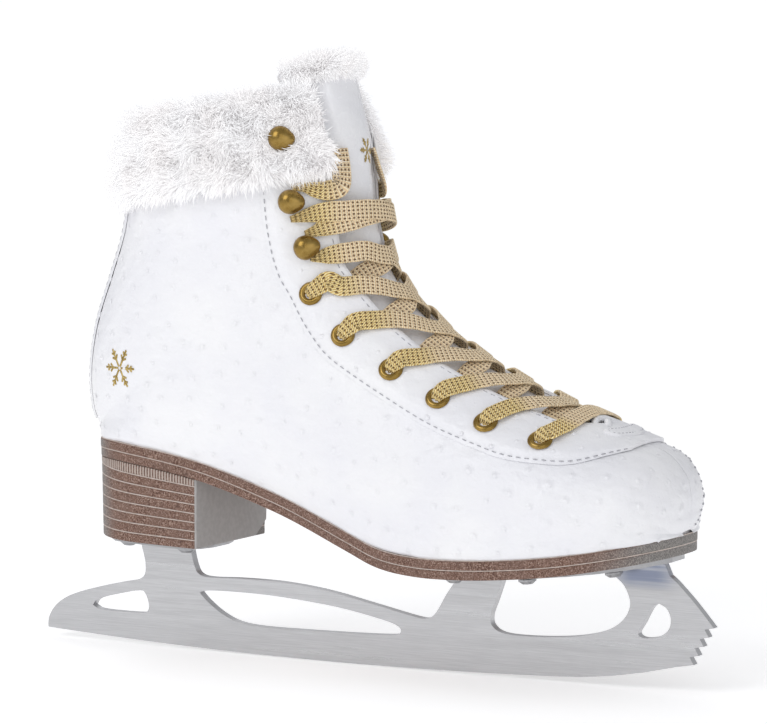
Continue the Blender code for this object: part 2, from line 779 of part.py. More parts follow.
# ---- Tongue --------------------------------------------------------------------------------------
TONGUE_HALF = 23.5
TONGUE_DEPTH = LEATHER + COUNTER + LINING + 3 * GAP + 0.8
TONGUE_LEATHER = 2.2
TONGUE_PILE = 4.0


def tongue_out(breadth, t):
    """How far off the boot's form the tongue's face lies: it swells in the gap and leans out at the top."""
    swell = 4.4 * (1 - ease(8.0, THROAT_HALF, breadth)) * ease(TONGUE_ROOT + 0.4, TONGUE_ROOT + 1.6, t)
    tuck = 1.6 * ease(12.0, TONGUE_HALF, breadth)
    lean = 5.0 * ease(20.5, TONGUE_TOP, t) * (1 - ease(11.0, 17.0, breadth))
    dip = 1.0 - ease(TONGUE_ROOT, 8.0, t)
    return lean + swell - tuck - dip - TONGUE_DEPTH


def tongue_place(t, v, out):
    breadth = (TONGUE_HALF - 9.0 * (1 - ease(TONGUE_ROOT, 8.5, t))) * abs(v)
    return skin(t, q_at_breadth(t, breadth), 1 if v >= 0 else -1, tongue_out(breadth, t) + out)


def build_tongue():
    """The tongue and the fur that lines it, which tilt together about the tongue's sewn root."""
    root = tongue_place(TONGUE_ROOT, 0.0, -TONGUE_LEATHER / 2)
    hinge = bpy.data.objects.new("tongue_hinge", None)
    SKATE.objects.link(hinge)
    hinge.location = Vector((root.x, 0.0, root.z)) * MM
    bpy.context.view_layer.update()
    rows = [
        TONGUE_ROOT, 6.0, 6.6, 7.4, 8.2, 9.1, 10.0, 11.0, 12.5, 14.5, 17.0, 19.5, 21.5, 23.0, 24.4, TONGUE_TOP,
    ]
    columns = [math.copysign(abs(v) ** 0.8, v) for v in spread(-1.0, 1.0, 13)]
    face = shell("tongue", rows, columns, tongue_place, 0.0, -TONGUE_LEATHER, WHITE_LEATHER)
    fur_rows = rows[2:] + [TONGUE_TOP + 0.75]
    near = -(TONGUE_LEATHER + 4 * GAP)
    fur = shell("tongue_fur", fur_rows, columns, tongue_place, near, near - TONGUE_PILE, WHITE_FUR)
    for piece in (face, fur):
        piece.parent = hinge
        piece.matrix_parent_inverse = hinge.matrix_world.inverted()


# ---- Eyelets, hooks and laces --------------------------------------------------------------------
def build_hardware(panels, facings):
    """Eyelets through both leathers, and domed hooks on the facings. Returns the top hooks' places."""
    seat = 2 * GAP + FACING
    eyelet = [
        (EYELET_BORE + 0.4, seat + 1.0), (EYELET_FLANGE - 0.7, seat + 1.0), (EYELET_FLANGE, seat + GAP),
        (EYELET_BORE + 0.5, seat + GAP), (EYELET_BORE + 0.5, -LEATHER), (EYELET_BORE, -LEATHER),
        (EYELET_BORE, seat + 0.7),
    ]
    neck, lift = 1.8, 3.0
    hook = [
        (0.0, seat + lift + 4.6), (HOOK_DOME * 0.55, seat + lift + 4.1), (HOOK_DOME * 0.9, seat + lift + 2.4),
        (HOOK_DOME, seat + lift + 0.9), (HOOK_DOME * 0.85, seat + lift), (neck, seat + lift), (neck, seat + 1.0),
        (3.4, seat + 1.0), (3.4, seat + GAP), (0.0, seat + GAP),
    ]
    top_hooks = []
    for (name, side), panel, facing in zip(SIDES, panels, facings):
        holes = []
        for i, spot in enumerate(EYELETS, 1):
            place = rest_frame(*locate(*spot), side)
            holes.append(place)
            lathe(f"{name}_eyelet_{i}", eyelet, OLD_BRASS, place, ring=True)
        for i, spot in enumerate(HOOKS, 1):
            place = rest_frame(*locate(*spot), side)
            lathe(f"{name}_hook_{i}", hook, OLD_BRASS, place)
        top_hooks.append(place)
        tool = cutter(f"{name}_eyelet_holes", holes, EYELET_HOLE, 6.0, 6.0)
        cut(panel, tool)
        cut(facing, tool)
    return top_hooks


def surface_point(t, breadth, out):
    """A point over the boot, breadth to the left (or right if negative) of the ridge."""
    side = 1 if breadth >= 0 else -1
    return skin(t, q_at_breadth(t, abs(breadth)), side, out)


def ribbon(name, path, look):
    """A flat lace along path, a list of (station, breadth, out, width share)."""
    knots = smooth(path, 2)
    spots = [surface_point(t, y, out) for t, y, out, _ in knots]
    loops = []
    for i, (t, y, out, share) in enumerate(knots):
        ahead, behind = spots[min(i + 1, len(spots) - 1)], spots[max(i - 1, 0)]
        along = (ahead - behind).normalized()
        up = (surface_point(t, y, out + 1.0) - spots[i]).normalized()
        across = along.cross(up).normalized() * (LACE_WIDTH / 2 * share)
        rise = across.cross(along).normalized() * (LACE_THICKNESS / 2)
        loops.append([spots[i] - across - rise, spots[i] - across + rise, spots[i] + across + rise,
                      spots[i] + across - rise])
    return rings(name, loops, look)


def lace_spots():
    """(station, breadth) of each eyelet and hook on the left side, from the toe up."""
    spots = []
    for x, z in EYELETS + HOOKS:
        t, q = locate(x, z)
        spots.append((t, form(t, q).y))
    return spots


def into_eyelet(t, y, over):
    """The end of a run that turns over an eyelet's rim and goes down through it."""
    return [
        (t - 0.2, y - 5.4, over + 0.9, 0.9), (t, y - 1.0, over + 1.7, 0.5), (t, y, 2.2, 0.4), (t, y, 0.0, 0.4),
    ]


def under_edge(t):
    """The start of a run that comes out from under the right lacing edge and climbs on to the tongue."""
    return [
        (t, -THROAT_HALF - 2.3, -3.8, 1.0), (t, 0.6 - THROAT_HALF, -3.6, 1.0),
        (t, 5.5 - THROAT_HALF, -0.5, 1.0), (t, 11.5 - THROAT_HALF, 1.5, 1.0),
    ]


def crossing(name, left_run):
    """Two mirrored runs of lace that cross over the tongue, joined where they touch."""
    lift = 0.6
    right_run = [(t, -y, out + lift * (1 - ease(4.0, 20.0, abs(y))), share) for t, y, out, share in left_run]
    return join(ribbon(name, left_run, GOLD_LACE), ribbon(name + "_return", right_run, GOLD_LACE))


LOOP_GAP = 1.12  # stations between a hook and the lace on either side of it
CROSSING_SAG = (0.42, 0.28, 0.10, -0.05, -0.12)  # where each crossing meets the ridge, as a share of its climb


def build_laces():
    """The lace, in the runs that show: a bar at the toe, seven crossings and two ends tucked under the collar.

    Each run comes out from under one lacing edge, crosses the tongue and goes down through the next eyelet up
    on the other side. Only the top crossing runs from hook to hook.
    """
    spots = lace_spots()
    over = FACING + 2 * GAP + 0.3 + LACE_THICKNESS / 2
    t, y = spots[0]
    half_bar = [(t - 0.1, 10.0, over + 0.4, 1.0), *into_eyelet(t, y, over)]
    other_half = [(t, -y, out, share) for t, y, out, share in half_bar[::-1]]
    ribbon("lace_bar", [*other_half, (t - 0.08, 0.0, over + 0.8, 1.0), *half_bar], GOLD_LACE)
    for i, sag in enumerate(CROSSING_SAG, 1):
        (low, _), (t, y) = spots[i - 1], spots[i]
        ridge = low + sag * (t - low)
        rise = t - ridge
        crossing(f"lace_crossing_{i}", under_edge(ridge - 0.1 * rise) + [
            (ridge, 0.0, 1.9, 1.0), (ridge + 0.13 * rise, 7.0, 2.0, 1.0),
            (ridge + 0.30 * rise, 12.0, over + 0.4, 1.0), (ridge + 0.50 * rise, THROAT_HALF, over + 0.3, 1.0),
            (ridge + 0.68 * rise, 21.0, over + 0.5, 1.0),
            *into_eyelet(t, y, over),
        ])
    low, (t, y) = spots[5][0] - 0.6, spots[6]
    rise = t - LOOP_GAP - low
    crossing("lace_crossing_6", under_edge(low) + [
        (low + 0.10 * rise, 0.0, 2.1, 1.0), (low + 0.20 * rise, 6.0, 2.4, 1.0),
        (low + 0.42 * rise, 11.0, over + 0.3, 1.0), (low + 0.68 * rise, 16.5, over + 0.7, 1.0),
        (low + 0.9 * rise, y - 3.5, over + 1.0, 0.6), (low + rise, y - 0.5, over + 1.0, 0.4),
    ])
    (low, y), (t, y2) = spots[6], spots[7]
    low, high, stack = low + LOOP_GAP, t - LOOP_GAP, 1.9
    crossing("lace_crossing_7", [
        (low, 0.5 - y, over + 1.0, 0.4), (low - 0.1, 3.5 - y, over + 1.0, 0.6),
        (low - 0.4, 8.5 - y, over + stack, 1.0), (low - 0.5, 13.0 - y, over + 0.4 + stack, 1.0),
        (low - 0.4, 0.0, over + stack, 1.0),
        (low + 0.5, 13.0, over + 0.7 + stack, 1.0), (high - 0.35, 19.0, over + 0.8 + stack, 0.95),
        (high, y2 - 3.0, over + 1.0, 0.6), (high, y2 - 0.5, over + 1.0, 0.4),
    ])
    for name, side in SIDES:
        ribbon(f"{name}_lace_end", [
            (t + 0.8, side * (y2 - 0.5), over + 1.0, 0.4), (t + 0.65, side * (y2 - 3.5), over + 1.0, 0.6),
            (t + 0.2, side * 19.0, over + 1.0, 0.8), (t + 0.5, side * 15.0, over + 0.5, 0.8),
            (t + 1.3, side * 13.4, over - 0.6, 0.8), (t + 2.6, side * 12.5, 1.0, 0.8),
        ], GOLD_LACE)


# ---- Build ---------------------------------------------------------------------------------------
def build():
    build_blade()
    toe_plate, heel_plate = build_plates()
    layers = build_sole()
    build_screws(toe_plate, heel_plate, layers)
    build_insoles()
    panels = build_panels()
    build_linings()
    build_stiffeners()
    facings = build_facings()
    build_small_leather()
    top_hooks = build_hardware(panels, facings)
    build_collar(top_hooks)
    build_tongue()
    build_laces()


build()
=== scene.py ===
"""The finish of a right-foot figure skate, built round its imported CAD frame.

Lengths are in millimetres and become metres when a mesh is made. The frame is the CAD's: +X to the toe, +Y to
the wearer's left, +Z up, with the origin on the ice plane. The upper is rebuilt on the boot's own form, a loft
through STATIONS, and the hardware and laces take their places from the CAD nodes.
"""

import math

import bmesh
import bpy
import numpy as np
from mathutils import Matrix, Vector
from mathutils.bvhtree import BVHTree


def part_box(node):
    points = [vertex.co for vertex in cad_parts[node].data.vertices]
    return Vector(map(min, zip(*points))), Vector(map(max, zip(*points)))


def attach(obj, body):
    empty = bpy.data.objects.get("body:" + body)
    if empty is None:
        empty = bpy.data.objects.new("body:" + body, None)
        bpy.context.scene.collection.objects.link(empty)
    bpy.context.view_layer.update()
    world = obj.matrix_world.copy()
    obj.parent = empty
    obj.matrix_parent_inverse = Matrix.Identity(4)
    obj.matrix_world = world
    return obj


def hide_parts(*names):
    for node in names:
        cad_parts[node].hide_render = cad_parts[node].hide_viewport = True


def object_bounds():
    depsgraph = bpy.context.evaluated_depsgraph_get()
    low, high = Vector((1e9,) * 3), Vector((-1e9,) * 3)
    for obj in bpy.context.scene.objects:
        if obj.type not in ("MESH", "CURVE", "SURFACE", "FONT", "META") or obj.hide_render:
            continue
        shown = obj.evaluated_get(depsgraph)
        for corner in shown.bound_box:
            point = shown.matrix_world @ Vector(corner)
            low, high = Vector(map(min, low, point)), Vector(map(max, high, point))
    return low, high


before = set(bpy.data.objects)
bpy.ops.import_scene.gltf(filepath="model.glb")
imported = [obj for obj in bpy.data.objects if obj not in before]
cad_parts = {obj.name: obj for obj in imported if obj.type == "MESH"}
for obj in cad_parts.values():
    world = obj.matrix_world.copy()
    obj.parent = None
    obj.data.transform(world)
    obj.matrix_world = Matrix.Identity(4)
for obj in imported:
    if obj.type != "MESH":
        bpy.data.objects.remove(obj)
CAD_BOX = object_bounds()
MM = 0.001
SIDES = (("left", 1), ("right", -1))

# ---- Dimensions of the boot's form, in millimetres -----------------------------------------------
FEATHER = [
    (-117.3, 86.5), (-95.0, 86.0), (-60.0, 80.0), (-26.0, 69.4), (7.5, 57.2), (24.0, 51.6),
    (42.0, 49.8), (62.0, 50.2), (83.0, 51.8), (102.0, 54.0), (120.5, 57.0), (136.0, 59.9),
]
BREADTH = [(-117.3, 29.5), (-88.0, 30.0), (-55.0, 28.6), (-22.0, 27.6), (12.0, 33.0), (45.0, 39.6),
           (70.0, 42.6), (95.0, 42.0), (136.0, 38.5)]
# Ridge x, z, base x, z, half breadth and squareness of each section, from the toe to the top.
STATIONS = np.array([
    (135.8, 61.2, 135.0, 60.3, 4.5, 2.2),
    (138.0, 67.0, 131.4, 59.5, 17.5, 2.3),
    (138.6, 74.0, 124.0, 57.9, 27.0, 2.4),
    (136.2, 83.0, 113.0, 55.9, 34.5, 2.4),
    (127.4, 90.2, 100.0, 54.0, 40.0, 2.4),
    (111.8, 96.0, 85.0, 52.2, 43.4, 2.3),
    (96.0, 101.8, 66.0, 50.7, 44.2, 2.2),
    (76.0, 109.8, 45.0, 50.1, 42.8, 2.1),
    (56.0, 119.6, 22.0, 52.5, 40.0, 2.0),
    (36.5, 131.2, 0.0, 60.2, 37.6, 2.0),
    (20.5, 144.4, -24.0, 69.0, 36.0, 2.0),
    (13.5, 153.0, -48.0, 77.0, 35.4, 2.0),
    (9.8, 160.0, -72.0, 82.8, 35.0, 2.0),
    (7.8, 165.5, -95.0, 86.3, 34.8, 2.0),
    (6.9, 169.4, -110.5, 86.9, 34.6, 2.0),
    (6.1, 173.2, -119.0, 91.5, 34.4, 2.0),
    (5.5, 176.5, -122.0, 101.0, 34.2, 2.0),
    (4.8, 180.0, -122.0, 115.0, 34.0, 2.0),
    (4.3, 183.5, -118.7, 132.0, 33.6, 2.0),
    (3.9, 187.0, -111.8, 151.0, 33.2, 2.0),
    (3.3, 191.0, -105.8, 168.0, 33.0, 2.0),
    (2.3, 196.0, -103.3, 181.0, 33.0, 2.0),
    (0.8, 203.0, -102.3, 190.0, 33.4, 2.0),
    (-2.0, 212.0, -101.8, 199.0, 34.0, 2.0),
    (-6.0, 221.0, -101.5, 207.0, 34.4, 2.0),
    (-9.6, 230.0, -101.4, 216.0, 34.6, 2.0),
    (-13.0, 239.0, -101.4, 225.0, 34.8, 2.0),
])
FACING_SEAM = [
    (124.0, 93.2), (115.0, 90.8), (103.0, 87.6), (91.5, 87.6), (77.3, 89.0), (63.5, 92.8), (44.7, 99.2),
    (25.5, 108.6), (10.9, 116.6), (-0.7, 124.0), (-10.6, 134.5), (-18.4, 145.5), (-24.5, 156.5),
    (-28.2, 170.9), (-29.6, 186.6), (-31.0, 204.0), (-33.0, 226.0),
]
BACK_SQUARENESS = 2.3
SOLE_HEEL, SOLE_TOE = -117.3, 136.0
HEEL_ROUND, TOE_ROUND = (29.0, 2.1), (50.0, 2.3)
SOLE_EDGE = 1.5
TOE_SWING = 4.5
HEEL_STATION = 15.0
THROAT_FRONT, THROAT_HALF = 5.85, 17.0
TONGUE_ROOT, TONGUE_TOP = 5.6, 25.6
COLLAR_LOW, BOOT_TOP = 21.0, 24.0
LEATHER, COUNTER, LINING, FACING, GAP = 1.8, 1.2, 1.8, 1.4, 0.3
LAYER = 3.6
HEEL_BREAST = -61.0
FACING_TOP = FACING + GAP + 0.1


# ---- The form, on numpy arrays -------------------------------------------------------------------
def spline(points, t):
    """Catmull-Rom curve through points at places counted in points, running straight on past both ends."""
    points, t = np.asarray(points, float), np.asarray(t, float)
    last = len(points) - 1
    i = np.clip(np.floor(t), 0, last - 1).astype(int)
    u = (t - i)[..., None]
    a, b, c, d = (points[np.clip(i + k, 0, last)] for k in (-1, 0, 1, 2))
    curve = 0.5 * (2 * b + (c - a) * u + (2 * a - 5 * b + 4 * c - d) * u**2 + (3 * b - a - 3 * c + d) * u**3)
    return np.where((u < 0) | (u > 1), b + (c - b) * u, curve)


def dense(points, per_span=40):
    return spline(points, np.linspace(0, len(points) - 1, (len(points) - 1) * per_span + 1))


DENSE_FEATHER, DENSE_BREADTH = dense(FEATHER), dense(BREADTH)


def feather(x):
    """Height of the line where the leather meets the sole."""
    return np.interp(x, DENSE_FEATHER[:, 0], DENSE_FEATHER[:, 1])


def ease(a, b, x):
    u = np.clip((np.asarray(x, float) - a) / (b - a), 0, 1)
    return u * u * (3 - 2 * u)


def swing(x):
    """Sideways lean of the foot's centre line, towards the inner side of the toe."""
    return TOE_SWING * ease(30.0, 150.0, x)


def rounded(depth, corner):
    """1 away from an end of the sole, falling to 0 at the end itself."""
    length, power = corner
    return (1 - np.clip((length - depth) / length, 0, 1) ** power) ** (1 / power)


def half_breadth(x):
    x = np.clip(x, SOLE_HEEL, SOLE_TOE)
    wide = np.interp(x, DENSE_BREADTH[:, 0], DENSE_BREADTH[:, 1])
    return wide * rounded(x - SOLE_HEEL, HEEL_ROUND) * rounded(SOLE_TOE - x, TOE_ROUND)


def section(t):
    rx, rz, bx, bz, wide, square = np.moveaxis(spline(STATIONS, t), -1, 0)
    base = np.where(np.asarray(t) >= HEEL_STATION, 0.0, np.maximum(half_breadth(bx) - SOLE_EDGE, 0.0))
    return rx, rz, bx, bz, wide, np.minimum(base, wide), square


def end_angle(wide, base):
    return np.pi - np.arcsin((base / wide) ** (BACK_SQUARENESS / 2))


def form(t, q):
    """Points of the boot's form on its left half, unbent. q runs from the ridge, 0, to the base line, 1."""
    t, q = np.broadcast_arrays(np.asarray(t, float), np.asarray(q, float))
    rx, rz, bx, bz, wide, base, square = section(t)
    last = end_angle(wide, base)

    def along(angle):
        power = 2 / np.where(angle < np.pi / 2, square, BACK_SQUARENESS)
        return 1 - np.sign(np.cos(angle)) * np.abs(np.cos(angle)) ** power

    angle = q * last
    power = 2 / np.where(angle < np.pi / 2, square, BACK_SQUARENESS)
    share = along(angle) / along(last)
    across = wide * np.maximum(np.sin(angle), 0) ** power
    return np.stack([rx + (bx - rx) * share, across, rz + (bz - rz) * share], -1)


def unit(v):
    return v / np.maximum(np.linalg.norm(v, axis=-1, keepdims=True), 1e-12)


def skin(t, q, side=1, out=0.0):
    """Points on the boot, out millimetres off its surface. side is 1 for left, -1 for right, or an array."""
    t, q = np.broadcast_arrays(np.asarray(t, float), np.asarray(q, float))
    step = 0.004
    near = np.clip(q, step, 1 - step)
    down = form(t, near + step) - form(t, near - step)
    back = form(t + 0.02, near) - form(t - 0.02, near)
    normal = np.cross(down, back)
    on_seam = (q < step) | ((t >= HEEL_STATION) & (q > 1 - step))
    normal[..., 1] = np.where(on_seam, 0.0, normal[..., 1])
    point = form(t, q) + unit(normal) * np.asarray(out, float)[..., None]
    point[..., 1] = np.asarray(side) * point[..., 1] + swing(point[..., 0])
    return point


def q_at_breadth(t, breadth):
    """How far round the section its half breadth reaches this value, counted from the ridge."""
    _, _, _, _, wide, base, square = section(t)
    return np.arcsin(np.minimum(breadth / wide, 1.0) ** (square / 2)) / end_angle(wide, base)


def q_throat(t):
    """The lacing edge: on the ridge in front of the throat, and THROAT_HALF from it along the gap."""
    return q_at_breadth(t, THROAT_HALF * np.sqrt(ease(THROAT_FRONT - 0.35, THROAT_FRONT + 0.45, t)))


def q_at_curve(ts, curve):
    """Where each section crosses a side-view curve, or 0 where it doesn't."""
    line = dense(curve, 12)
    q = np.linspace(0, 1, 241)
    found = np.zeros(len(ts))
    for i, t in enumerate(ts):
        points = form(t, q)
        above = points[:, 2] - np.interp(points[:, 0], line[::-1, 0], line[::-1, 1])
        if t > 12.0:  # the curve runs upwards there, so it's crossed in x
            above = points[:, 0] - np.interp(points[:, 2], line[:, 1], line[:, 0])
        crossed = np.nonzero((above[:-1] > 0) & (above[1:] <= 0))[0]
        if len(crossed):
            j = crossed[0]
            found[i] = q[j] + (q[1] - q[0]) * above[j] / (above[j] - above[j + 1])
    return found


def even_rows(low, high, spacing, q=0.6):
    """Stations from low to high that lie about spacing apart along the surface."""
    t = np.linspace(low, high, 1500)
    length = np.r_[0, np.cumsum(np.linalg.norm(np.diff(form(t, q), axis=0), axis=1))]
    return np.interp(np.linspace(0, length[-1], max(int(length[-1] / spacing), 2) + 1), length, t)


SEARCH_T, SEARCH_Q = np.meshgrid(np.arange(4.5, 26.0, 0.05), np.arange(0.0, 0.7, 0.004), indexing="ij")
SEARCH_POINTS = {side: skin(SEARCH_T, SEARCH_Q, side) for _, side in SIDES}


def where_on_boot(point, side):
    """(t, q) of the boot's surface nearest to a point in millimetres."""
    distance = np.linalg.norm(SEARCH_POINTS[side] - point, axis=-1)
    i = np.unravel_index(distance.argmin(), distance.shape)
    return SEARCH_T[i], SEARCH_Q[i]


def node_centre(name):
    low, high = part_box(name)
    return np.array((low + high) / 2) / MM


def seat(t, q, side, out=0.0):
    """A matrix on the boot's surface, with Z along its normal and X up the boot."""
    foot, head = skin(t, q, side, out), skin(t, q, side, out + 1.0)
    up = skin(t + 0.05, q, side, out) - foot
    z = unit(head - foot)
    x = unit(up - z * (up @ z))
    turn = Matrix(np.array([x, np.cross(z, x), z]).T.tolist()).to_4x4()
    return Matrix.Translation(Vector(foot) * MM) @ turn


# ---- Materials -----------------------------------------------------------------------------------
class Look:
    """A Principled material, with short names for the nodes its pattern is made of."""

    def __init__(self, name, colour, roughness, metallic=0.0, **more):
        self.material = bpy.data.materials.new(name)
        self.material.use_nodes = True
        self.tree = self.material.node_tree
        self.shader = self.tree.nodes["Principled BSDF"]
        values = {"Base Color": (*colour, 1), "Roughness": roughness, "Metallic": metallic, **more}
        for socket, value in values.items():
            self.shader.inputs[socket].default_value = value
        self.place = self.node("ShaderNodeTexCoord").outputs["Object"]

    def node(self, kind, inputs=None, **settings):
        made = self.tree.nodes.new(kind)
        for key, value in settings.items():
            setattr(made, key, value)
        for key, value in (inputs or {}).items():
            self.feed(made.inputs[key], value)
        return made

    def feed(self, socket, value):
        if isinstance(value, bpy.types.NodeSocket):
            self.tree.links.new(value, socket)
        else:
            socket.default_value = value

    def set(self, socket, value):
        self.feed(self.shader.inputs[socket], value)

    def stretched(self, scale):
        return self.node("ShaderNodeMapping", {"Vector": self.place, "Scale": scale}).outputs[0]

    def noise(self, scale, detail=2.0, where=None, roughness=0.5):
        values = {"Vector": where or self.place, "Scale": scale, "Detail": detail, "Roughness": roughness}
        return self.node("ShaderNodeTexNoise", values).outputs["Fac"]

    def cells(self, scale, feature="F1", where=None):
        values = {"Vector": where or self.place, "Scale": scale}
        return self.node("ShaderNodeTexVoronoi", values, feature=feature).outputs["Distance"]

    def math(self, operation, a, b=0.0, clamp=False):
        return self.node("ShaderNodeMath", {0: a, 1: b}, operation=operation, use_clamp=clamp).outputs[0]

    def span(self, value, low, high, to_low=0.0, to_high=1.0):
        """value's stretch from low to high, spread over to_low to to_high and held there."""
        values = {"Value": value, "From Min": low, "From Max": high, "To Min": to_low, "To Max": to_high}
        return self.node("ShaderNodeMapRange", values, interpolation_type="SMOOTHSTEP").outputs[0]

    def mix(self, share, first, second):
        made = self.node("ShaderNodeMix", data_type="RGBA")
        for index, value in ((0, share), (6, first), (7, second)):
            if isinstance(value, tuple):
                value = (*value, 1.0)
            self.feed(made.inputs[index], value)
        return made.outputs[2]

    def attribute(self, name, output="Fac"):
        return self.node("ShaderNodeAttribute", attribute_name=name).outputs[output]

    def bump(self, *layers):
        """Adds bump layers, each (height, depth in millimetres)."""
        normal = None
        for height, depth in layers:
            values = {"Height": height, "Distance": depth * MM, "Strength": 1.0}
            made = self.node("ShaderNodeBump", values)
            if normal:
                self.feed(made.inputs["Normal"], normal)
            normal = made.outputs[0]
        self.set("Normal", normal)
        return self


def leather_look(name, roughness, grain):
    """White coated leather with a faint lavender cast, soft clouds and fine creases."""
    look = Look(name, (0.86, 0.86, 0.885), roughness, **{"Specular IOR Level": 0.45})
    cloud = look.noise(28.0, 3.0)
    look.set("Base Color", look.mix(look.span(cloud, 0.3, 0.7), (0.84, 0.84, 0.875), (0.885, 0.885, 0.90)))
    look.set("Roughness", look.span(look.noise(90.0, 3.0), 0.3, 0.7, roughness - 0.06, roughness + 0.08))
    creases = look.cells(150.0, "SMOOTH_F1", look.stretched((1.0, 1.0, 1.8)))
    fine = look.math("ABSOLUTE", look.math("SUBTRACT", look.noise(130.0, 4.0, roughness=0.6), 0.5))
    return look.bump((look.noise(40.0, 2.0), 1.1 * grain), (creases, 0.5 * grain), (fine, 0.9 * grain))


def fur_look():
    """Pile that darkens a little towards its roots."""
    look = Look("white_fur", (0.97, 0.965, 0.97), 0.9, **{"Specular IOR Level": 0.1})
    tip = look.attribute("tip")
    blotch = look.noise(60.0, 2.0)
    pale = look.mix(look.span(blotch, 0.35, 0.65), (0.985, 0.975, 0.975), (0.985, 0.985, 0.99))
    look.set("Base Color", look.mix(look.span(tip, 0.0, 0.6), (0.95, 0.935, 0.94), pale))
    # Light scatters from hair to hair in white pile. A faint glow stands in for what flat blades lose.
    look.set("Emission Color", (1.0, 0.99, 1.0, 1.0))
    look.set("Emission Strength", look.span(tip, 0.0, 1.0, 0.07, 0.12))
    return look


def fleece_look():
    look = Look("fleece", (0.88, 0.87, 0.86), 0.95, **{"Sheen Weight": 0.4})
    curl = look.cells(700.0, "SMOOTH_F1")
    look.set("Base Color", look.mix(curl, (0.96, 0.95, 0.95), (0.88, 0.87, 0.87)))
    return look.bump((curl, 0.5), (look.noise(300.0, 3.0), 0.4))


def speckle(look):
    """Brown board flecked with pale chips, greyer where it faces the toe or the heel."""
    fleck = look.noise(1900.0, 2.0, roughness=0.7)
    patch = look.noise(160.0, 2.0)
    brown = look.mix(look.span(fleck, 0.40, 0.54), (0.085, 0.042, 0.030), (0.235, 0.135, 0.10))
    board = look.mix(look.span(fleck, 0.54, 0.68), brown, (0.42, 0.32, 0.27))
    board = look.mix(look.span(patch, 0.3, 0.7, 0.0, 0.35), board, (0.20, 0.13, 0.105))
    normal = look.node("ShaderNodeNewGeometry").outputs["Normal"]
    facing = look.node("ShaderNodeSeparateXYZ", {0: normal}).outputs[0]
    grey = look.mix(look.span(fleck, 0.4, 0.6), (0.16, 0.155, 0.15), (0.30, 0.29, 0.275))
    return look.mix(look.span(look.math("ABSOLUTE", facing), 0.35, 0.85, 0.0, 0.9), board, grey), fleck


def sole_look():
    look = Look("sole_board", (0.3, 0.2, 0.17), 0.62, **{"Specular IOR Level": 0.3})
    board, fleck = speckle(look)
    look.set("Base Color", board)
    return look.bump((fleck, 0.12))


def ribbed_look():
    """The heel's top wedge: pale upright ribs over the same board."""
    look = Look("ribbed_board", (0.4, 0.3, 0.26), 0.62)
    board, fleck = speckle(look)
    x = look.node("ShaderNodeSeparateXYZ", {0: look.place}).outputs[0]
    rib_pitch = 1.25 * MM
    wave = look.math("SINE", look.math("MULTIPLY", x, 2 * math.pi / rib_pitch))
    look.set("Base Color", look.mix(look.span(wave, -0.3, 0.5), board, (0.50, 0.42, 0.37)))
    return look.bump((wave, 0.15), (fleck, 0.1))


def plain_board_look(name, colour, other):
    look = Look(name, colour, 0.6)
    cloud = look.noise(500.0, 3.0)
    look.set("Base Color", look.mix(look.span(cloud, 0.35, 0.65), colour, other))
    return look.bump((cloud, 0.06))


def steel_look(name, colour, burnished=False):
    """Steel brushed along its length. The blade's toe also has a blue heat stain by its weld."""
    look = Look(name, colour, 0.3, 1.0)
    brush = look.noise(1.0, 4.0, where=look.stretched((60.0, 3000.0, 3800.0)), roughness=0.7)
    wide_brush = look.noise(1.0, 2.0, where=look.stretched((12.0, 300.0, 420.0)))
    darker, lighter = (tuple(share * c for c in colour) for share in (0.90, 1.08))
    base = look.mix(look.span(brush, 0.3, 0.7), darker, lighter)
    if burnished:
        split = look.node("ShaderNodeSeparateXYZ", {0: look.place})
        behind = look.span(split.outputs[0], 0.106, 0.116)
        ahead = look.span(split.outputs[0], 0.137, 0.125)
        toe = look.math("MULTIPLY", behind, ahead)
        high = look.span(split.outputs[2], 0.0375, 0.0425)
        stain = look.math("MULTIPLY", look.math("MULTIPLY", toe, high), look.span(wide_brush, 0.40, 0.60, 0.2, 0.75))
        base = look.mix(stain, base, (0.20, 0.24, 0.36))
    look.set("Base Color", base)
    look.set("Roughness", look.span(wide_brush, 0.3, 0.7, 0.27, 0.40))
    return look.bump((brush, 0.012))


def brass_look():
    """Brass with a dark olive patina."""
    look = Look("old_brass", (0.30, 0.19, 0.05), 0.3, 1.0)
    patina = look.noise(260.0, 3.0)
    look.set("Base Color", look.mix(look.span(patina, 0.35, 0.68), (0.26, 0.165, 0.042), (0.37, 0.245, 0.075)))
    look.set("Roughness", look.span(patina, 0.3, 0.7, 0.24, 0.34))
    return look


LACE_PITCH, LACE_ROW = 1.9, 1.5


